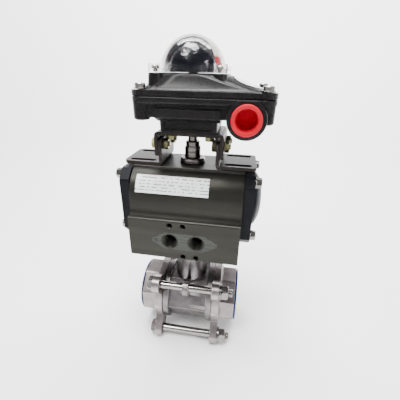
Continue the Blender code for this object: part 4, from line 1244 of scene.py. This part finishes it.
# switch box, its lower casting
switchBox = {
    "inset": 3.0, "corner": 7.0, "rimDeep": 4.0, "wall": 6.5, "floor": 3.3, "neckX": 24.0, "neckY": 24.0,
    "post": 6.3, "entryX": 46.5, "entryHeight": 246.5, "entryOut": 45.0, "entryRadius": 14.5,
    "entryBore": 9.9,
    "entryFrom": 24.0, "entryFloor": 26.5, "boxFloor": 244.7, "panel": 0.9, "lidPost": 5.4,
    "lidTap": 1.9, "lidTapDeep": 11.0,
}


def boxOutline(inset, radius):
    return roundedRectangle(baseLow.x + inset, baseHigh.x - inset, -boxHalf + inset, boxHalf - inset, radius)


def lidPlaces():
    spots = [middleOf(f"lid_screw_{number}") for number in range(1, 5)]
    return [(spot.x, spot.y) for spot in spots]


def levelLoop(outline, z):
    return [(x, y, z) for x, y in outline]


def boxLoop(inset, radius, z):
    return levelLoop(boxOutline(inset, radius), z)


def makeSwitchBase():
    s = switchBox
    floor = s["boxFloor"]
    inset = s["inset"]
    shell = loft("switchBoxBase", [
        boxLoop(inset + 1.6, s["corner"] - 1.6, floor), boxLoop(inset + 0.7, s["corner"] - 0.7, floor + 0.6),
        boxLoop(inset + 0.3, s["corner"] - 0.3, floor + 1.6), boxLoop(inset, s["corner"], seam - 2),
    ])
    rim = loft("rim", [
        boxLoop(1.6, 7.4, seam - s["rimDeep"] - 1.2), boxLoop(0.5, 8.5, seam - s["rimDeep"] - 0.4),
        boxLoop(0, 9, seam - s["rimDeep"] + 0.6), boxLoop(0, 9, seam - 0.5), boxLoop(0.4, 8.6, seam),
    ])
    x, y = s["neckX"], s["neckY"]
    neck = loft("neck", [
        levelLoop(roundedRectangle(-x + 0.6, x - 0.6, -y + 0.6, y - 0.6, 3), baseLow.z),
        levelLoop(roundedRectangle(-x, x, -y, y, 3.4), baseLow.z + 0.8),
        levelLoop(roundedRectangle(-x - 0.5, x + 0.5, -y - 0.5, y + 0.5, 4), floor + 2),
    ])
    steps = joined(rim, neck)
    shoulder = [
        (boxHalf - 0.6, floor + 7), (boxHalf - 0.6, floor + 0.4, 1.6), (boxHalf - 9, floor - 3, 2),
        (boxHalf - 20, floor - 3), (boxHalf - 20, floor + 7),
    ]
    for sign in (1, -1):
        outline = [(sign * point[0], *point[1:]) for point in shoulder]
        steps += joined(slab("shoulder", softened(outline, 0, 5), -x + 1.5, x + 3.5, "X"))
    for px, py in lidPlaces():
        post = [
            (0, floor - 2), (s["post"] - 0.9, floor - 2), (s["post"], floor - 1.1),
            (s["post"] + 0.15, seam - 1), (0, seam - 1)
        ]
        steps += joined(turned("post", post, (px, py, 0), "Z", 48))
    for sign in (1, -1):
        start, out, radius = s["entryFrom"], s["entryOut"], s["entryRadius"]
        boss = [(0, start), (radius + 0.2, start), (radius, out - 1.2), (radius - 0.4, out - 0.4)]
        boss += [(radius - 1.2, out), (0, out)]
        entry = turned("entry", flipped(boss, -sign), (s["entryX"], 0, s["entryHeight"]), "Y", 96)
        lid = block("lid", (20, -60, seam - 0.7), (80, 60, seam + 20))
        steps += joined(combine(entry, removed(lid)))
    steps += removed(slab("inside", boxOutline(s["wall"], 4), floor + s["floor"], seam + 2))
    for px, py in lidPlaces():
        steps += joined(rod("lidPost", (px, py, floor + 1), (px, py, seam), s["lidPost"], 32))
        steps += removed(
            rod("lidHole", (px, py, seam - s["lidTapDeep"]), (px, py, seam + 1), s["lidTap"], 24)
        )
    for sign in (1, -1):
        start = (s["entryX"], sign * (s["entryOut"] + 1), s["entryHeight"])
        steps += removed(
            rod(
                "entryBore", start, (s["entryX"], sign * s["entryFloor"], s["entryHeight"]), s["entryBore"],
                64
            )
        )
        panel = roundedRectangle(-x + 4.5, x - 4.5, baseLow.z + 2.2, floor - 3.6, 1.2, 5)
        first, last = sorted((sign * -(y - s["panel"]), sign * -(y + 4)))
        steps += removed(slab("panel", panel, first, last, "Y"))
    steps += removed(rod("shaftBore", (0, 0, baseLow.z - 2), (0, 0, seam), driveHead["shaft"] + 0.3, 48))
    dress(combine(shell, steps), "root", "coated", ["switch_base"], 0.45, 3)


# switch box, its domed lid
switchLid = {
    "rimTop": 264.4, "seatHalf": 30.0, "seatHole": 22.0, "lidBoss": 5.6, "screwRoom": 6.1, "seatBoss": 5.5,
    "power": 1.7, "rightPower": 1.55, "footCorner": 5.0, "cornerGain": 22.0,
    "cornerPower": 0.6, "lidHole": 2.4
}


# the lid's slope, from just inside its rim up to the dome's seat
def slopeLoops(drop, inset, top, count=14, lead=4.0):
    lid = switchLid
    loops = []
    half = lid["seatHalf"]
    for step in range(count + 1):
        share = step / count
        edge = lead + inset
        left = (1 - share) * (baseLow.x + edge) + share * (-half + inset)
        far = share ** lid["rightPower"]
        right = (1 - far) * (baseHigh.x - edge) + far * (half - inset)
        depth = (1 - share) * (boxHalf - edge) + share * (half - inset)
        low = lid["rimTop"] - drop
        corner = lid["footCorner"] + lid["cornerGain"] * share ** lid["cornerPower"]
        outline = roundedRectangle(left, right, -depth, depth, corner, 10)
        loops.append(levelLoop(outline, low + (top - low) * share ** lid["power"]))
    return loops


def makeSwitchLid():
    lid = switchLid
    low, rimTop = coverLow.z, lid["rimTop"]
    outside = [
        boxLoop(0.5, 8.5, low), boxLoop(0, 9, low + 0.5),
        boxLoop(0, 9, rimTop - 0.1), boxLoop(1.8, 7.2, rimTop - 0.05),
    ]
    slope = slopeLoops(0, 0, seatTop)
    half = lid["seatHalf"] + 0.1
    corner = lid["footCorner"] + lid["cornerGain"] + 0.1
    slope.insert(-1, levelLoop(roundedRectangle(-half, half, -half, half, corner, 10), seatTop - 0.9))
    cover = loft("switchBoxLid", outside + slope)
    hollow = loft("hollow", [boxLoop(6.5, 4, low - 1)] + slopeLoops(3, 3, seatTop - 3, 8))
    steps = removed(hollow, rod("seatHole", (0, 0, seam), (0, 0, seatTop + 1), lid["seatHole"], 96))
    for x, y in lidPlaces():
        radius = lid["lidBoss"]
        boss = [(0, low), (radius - 0.3, low), (radius, low + 0.5), (radius, rimTop + 0.2)]
        boss += [(radius - 0.4, rimTop + 0.6), (0, rimTop + 0.6)]
        steps += joined(turned("lidBoss", boss, (x, y, 0), "Z", 48))
        steps += removed(rod("screwRoom", (x, y, rimTop + 0.6), (x, y, rimTop + 14), lid["screwRoom"], 48))
        steps += removed(rod("lidHole", (x, y, low - 1), (x, y, rimTop + 3), lid["lidHole"], 24))
    for x, y in domeCorners():
        radius = lid["seatBoss"]
        boss = [(0, seatTop - 9), (radius + 0.6, seatTop - 9), (radius, seatTop - 0.7)]
        boss += [(radius - 0.5, seatTop - 0.2), (0, seatTop - 0.2)]
        steps += joined(turned("seatBoss", boss, (x, y, 0), "Z", 48))
    dress(combine(cover, steps), "root", "coated", ["switch_cover"], 0.35, 2)


lidScrew = {"headThick": 3.6, "washer": 0.9, "socket": 1.75, "shank": 1.6}


def makeLidScrews():
    h = lidScrew
    for number in range(1, 5):
        name = f"lid_screw_{number}"
        low, high = spanOf(name)
        spot = (low + high) / 2
        radius = (high.x - low.x) / 2
        base = high.z - h["headThick"]
        rim = radius + h["washer"]
        profile = [(0, base - 0.25), (rim, base - 0.25), (rim, base + 0.35), (radius, base + 0.4)]
        profile += [(radius, high.z - 0.5), (radius - 0.5, high.z), (0, high.z)]
        head = turned(f"lidScrew{number}", profile, (spot.x, spot.y, 0), "Z", 48)
        socket = slab(
            "socket", polygon(6, h["socket"], (spot.x, spot.y), 20 * number), high.z - 2, high.z + 1
        )
        shank = rod("shank", (spot.x, spot.y, low.z), (spot.x, spot.y, base), h["shank"], 24)
        screw = combine(head, removed(socket) + joined(shank))
        dress(screw, "root", "screw", [name], 0.12)


# clear dome, its screws, the black mask and the two-coloured drum under it
domeScrew = {
    "radius": 2.7, "seat": 2.25, "top": 4.6, "shank": 1.5, "crossLong": 1.6, "crossHalf": 0.3,
    "crossDeep": 0.8,
    "hole": 1.7, "room": 3.2, "roomFrom": 2.2
}
dome = {
    "radius": 27.2, "centre": 276.8, "wall": 1.2, "plate": 5.5, "plateHalf": 27.6, "corner": 24.7, "lug": 5.3
}


def domeCorners():
    return fourCorners(dome["corner"], dome["corner"])


def arcPoints(radius, first, last, count):
    made = []
    for step in range(count + 1):
        angle = math.radians(first + (last - first) * step / count)
        across = radius * math.cos(angle) if math.cos(angle) > 1e-9 else 0
        made.append((across, radius * math.sin(angle)))
    return made


def makeDome():
    d = dome
    half, low = d["plateHalf"], domeLow.z
    high = low + d["plate"]
    outer = arcPoints(d["radius"], 90, 0, 24) + [(d["radius"], -0.1), (0, -0.1)]
    shell = turned("clearDome", outer, (0, 0, d["centre"]), "Z", 96)
    steps = joined(slab("plate", roundedRectangle(-half, half, -half, half, 4), low, high))
    for x, y in domeCorners():
        steps += joined(rod("lug", (x, y, low - 0.001), (x, y, high + 0.4), d["lug"], 48))
    inner = d["radius"] - d["wall"]
    hollow = arcPoints(inner, 90, 0, 24) + [(inner, -20), (0, -20)]
    steps += removed(turned("hollow", hollow, (0, 0, d["centre"]), "Z", 96))
    c = domeScrew
    for x, y in domeCorners():
        steps += removed(rod("screwHole", (x, y, low - 1), (x, y, high + 2), c["hole"], 24))
        steps += removed(rod("headRoom", (x, y, low + c["roomFrom"]), (x, y, high + 2), c["room"], 32))
    dress(combine(shell, steps), "root", "clear", ["dome"], 0.35, 3)
    seat, top = low + c["seat"], low + c["top"]
    long, wide, radius = c["crossLong"], c["crossHalf"], c["radius"]
    for number, (x, y) in enumerate(domeCorners(), 1):
        profile = [(0, seat), (radius, seat), (radius, top - 0.5), (radius - 0.5, top), (0, top)]
        head = turned(f"domeScrew{number}", profile, (x, y, 0), "Z", 32)
        cross = block("cross", (x - long, y - wide, top - c["crossDeep"]), (x + long, y + wide, top + 1))
        shank = rod("shank", (x, y, low + 0.1), (x, y, low + 2.6), c["shank"], 24)
        dress(combine(head, removed(cross) + joined(shank)), "root", "screw", edge=0.1)


mask = {"outer": 25.5, "inner": 24.6, "window": 36.3, "near": 2.5, "band": 2.6}


def makeMask():
    m = mask
    low = spanOf("indicator_mask")[0].z
    profile = arcPoints(m["outer"], 90, 0, 24) + arcPoints(m["inner"], 0, 90, 24)
    shell = turned("indicatorMask", profile, (0, 0, low), "Z", 120)
    steps = []
    slope = math.tan(math.radians(m["window"]))
    for sign in (1, -1):
        near, reach = m["near"], 40
        outline = [
            (sign * near, near * slope), (sign * near, -near * slope), (sign * reach, -reach * slope),
            (sign * reach, reach * slope)
        ]
        steps += removed(slab("window", outline, low + m["band"], low + 40))
    dress(combine(shell, steps), "root", "mask", ["indicator_mask"], 0.15, 2)


drum = {"radius": 23.9, "hub": 6.0, "clear": 0.15, "split": 288.0, "shell": 1.2}


def makeDrum():
    # red shows low in the windows when the valve is shut, and yellow when it is open
    d = drum
    low = spanOf("indicator_rotor")[0].z
    radius = d["radius"]
    levels = [low + (d["split"] - 0.1 - low) * step / 6 for step in range(7)]
    for name, look, turn in (("drumRed", "red", 0), ("drumYellow", "yellow", 90)):
        wedges = []
        for half in (0, 180):
            loops = []
            for z in levels:
                reach = 45 - d["clear"]
                width = math.sqrt(radius**2 - (z - low) ** 2)
                arc = [math.radians(turn + half - reach + 2 * reach * step / 24) for step in range(25)]
                loop = [(width * math.cos(a), width * math.sin(a), z) for a in arc]
                loop += [(d["hub"] * math.cos(a), d["hub"] * math.sin(a), z) for a in reversed(arc)]
                loops.append(loop)
            wedges.append(loft("wedge", loops))
        made = mergeObjects(name, wedges)
        dress(made, "drive", look, ["indicator_rotor"] if turn == 0 else [], 0.15)
    start = math.degrees(math.asin((d["split"] - low) / radius))
    inner = radius - d["shell"]
    profile = arcPoints(radius, 90, start, 20) + arcPoints(inner, start, 90, 20)
    dress(turned("drumCap", profile, (0, 0, low), "Z", 96), "drive", "cream", edge=0)


sticker = {
    "x": 47.0, "y": -13.0, "radius": 12.5, "edge": 0.7, "lift": 0.12, "thick": 0.12, "rings": 8, "turns": 72
}


def makeSticker():
    # both layers follow the lid's surface, found by looking straight down on it
    s = sticker
    surface = BVHTree.FromObject(bpy.data.objects["switchBoxLid"], bpy.context.evaluated_depsgraph_get())
    turns = s["turns"]
    for name, inner, outer, look in (
        ("stickerEdge", s["radius"], s["radius"] + s["edge"], "stickerEdge"),
        ("roundSticker", 0, s["radius"], "sticker")
    ):
        edit = bmesh.new()
        layers = []
        for layer in (s["lift"], s["lift"] + s["thick"]):
            rows = []
            for step in range(s["rings"] + 1):
                radius = inner + (outer - inner) * step / s["rings"]
                row = []
                for turn in range(turns if radius else 1):
                    angle = 2 * math.pi * turn / turns
                    x = s["x"] + radius * math.cos(angle)
                    y = s["y"] + radius * math.sin(angle)
                    hit = surface.ray_cast(Vector((x, y, domeHigh.z)) * mm, Vector((0, 0, -1)))[0]
                    row.append(edit.verts.new(hit + Vector((0, 0, layer * mm))))
                rows.append(row if radius else row * turns)
            layers.append(rows)
        sheets = [list(zip(rows, rows[1:])) for rows in layers]
        walls = [(layers[0][-1], layers[1][-1])] + ([(layers[0][0], layers[1][0])] if inner else [])
        for first, second in sheets[0] + sheets[1] + walls:
            bandBetween(edit, first, second)
        bmesh.ops.recalc_face_normals(edit, faces=edit.faces)
        dress(objectFrom(name, edit), "root", look, edge=0)


# red conduit plugs
entryPlug = {"barrel": 9.4, "recess": 7.7, "flangeThick": 2.2, "floor": 1.6}


def makeEntryPlug(side, sign):
    p = entryPlug
    node = "entry_plug_" + side.lower()
    low, high = spanOf(node)
    middle = (low + high) / 2
    radius = (high.x - low.x) / 2
    first, last = reachOf(node, "y")
    face = last - p["flangeThick"]
    place = (middle.x, 0, middle.z)
    recess, barrel, floor = p["recess"], p["barrel"], first + p["floor"]
    body = "plug_" + side.lower()
    rim = [
        (recess + 0.25, face - 0.4), (recess + 0.25, last - 1.3), (recess + 0.7, last - 0.45),
        (recess + 1.5, last),
        (radius - 1.1, last), (radius - 0.3, last - 0.35), (radius, last - 1.0), (radius - 0.1, face + 0.2),
        (radius - 0.4, face), (barrel, face), (barrel, face - 0.4),
    ]
    made = turned(side.lower() + "PlugRim", flipped(rim, -sign), place, "Y", 96, ring=True)
    dress(made, body, "red", [node], 0)
    well = [
        (0, first), (barrel - 0.7, first), (barrel, first + 0.8), (barrel - 0.05, face - 0.45),
        (recess + 0.2, face - 0.45), (recess - 0.2, floor + 1.2), (recess - 1.2, floor + 0.1),
        (2.0, floor), (1.2, floor + 0.4), (0, floor + 0.4),
    ]
    made = turned(side.lower() + "PlugWell", flipped(well, -sign), place, "Y", 96)
    # the well takes the brighter red copy, painted light that lifts the shade in the recess
    dress(made, body, "litWellRed", edge=0)


makeSwitchBase()
makeSwitchLid()
makeLidScrews()
makeDome()
makeMask()
makeDrum()
makeSticker()
makeEntryPlug("Front", -1)
makeEntryPlug("Rear", 1)
print("switch box ready")


# inner pieces keep their shapes from the frame and take a finish each
innerFinishes = {
    "ball": ["ball"], "screw": ["stem", "pinion"], "ptfe": ["seat_left", "seat_right"], "brass": ["gland"],
    "aluminium": ["piston_left", "piston_right"], "yellow": ["cam_lower", "cam_upper"],
    "switch": ["limit_switch_1", "limit_switch_2"], "spring": ["switch_lever_1", "switch_lever_2"],
    "terminal": ["terminal_strip"],
}
for look, names in innerFinishes.items():
    for name in names:
        giveFinish(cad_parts[name], look)
print("inner pieces finished")
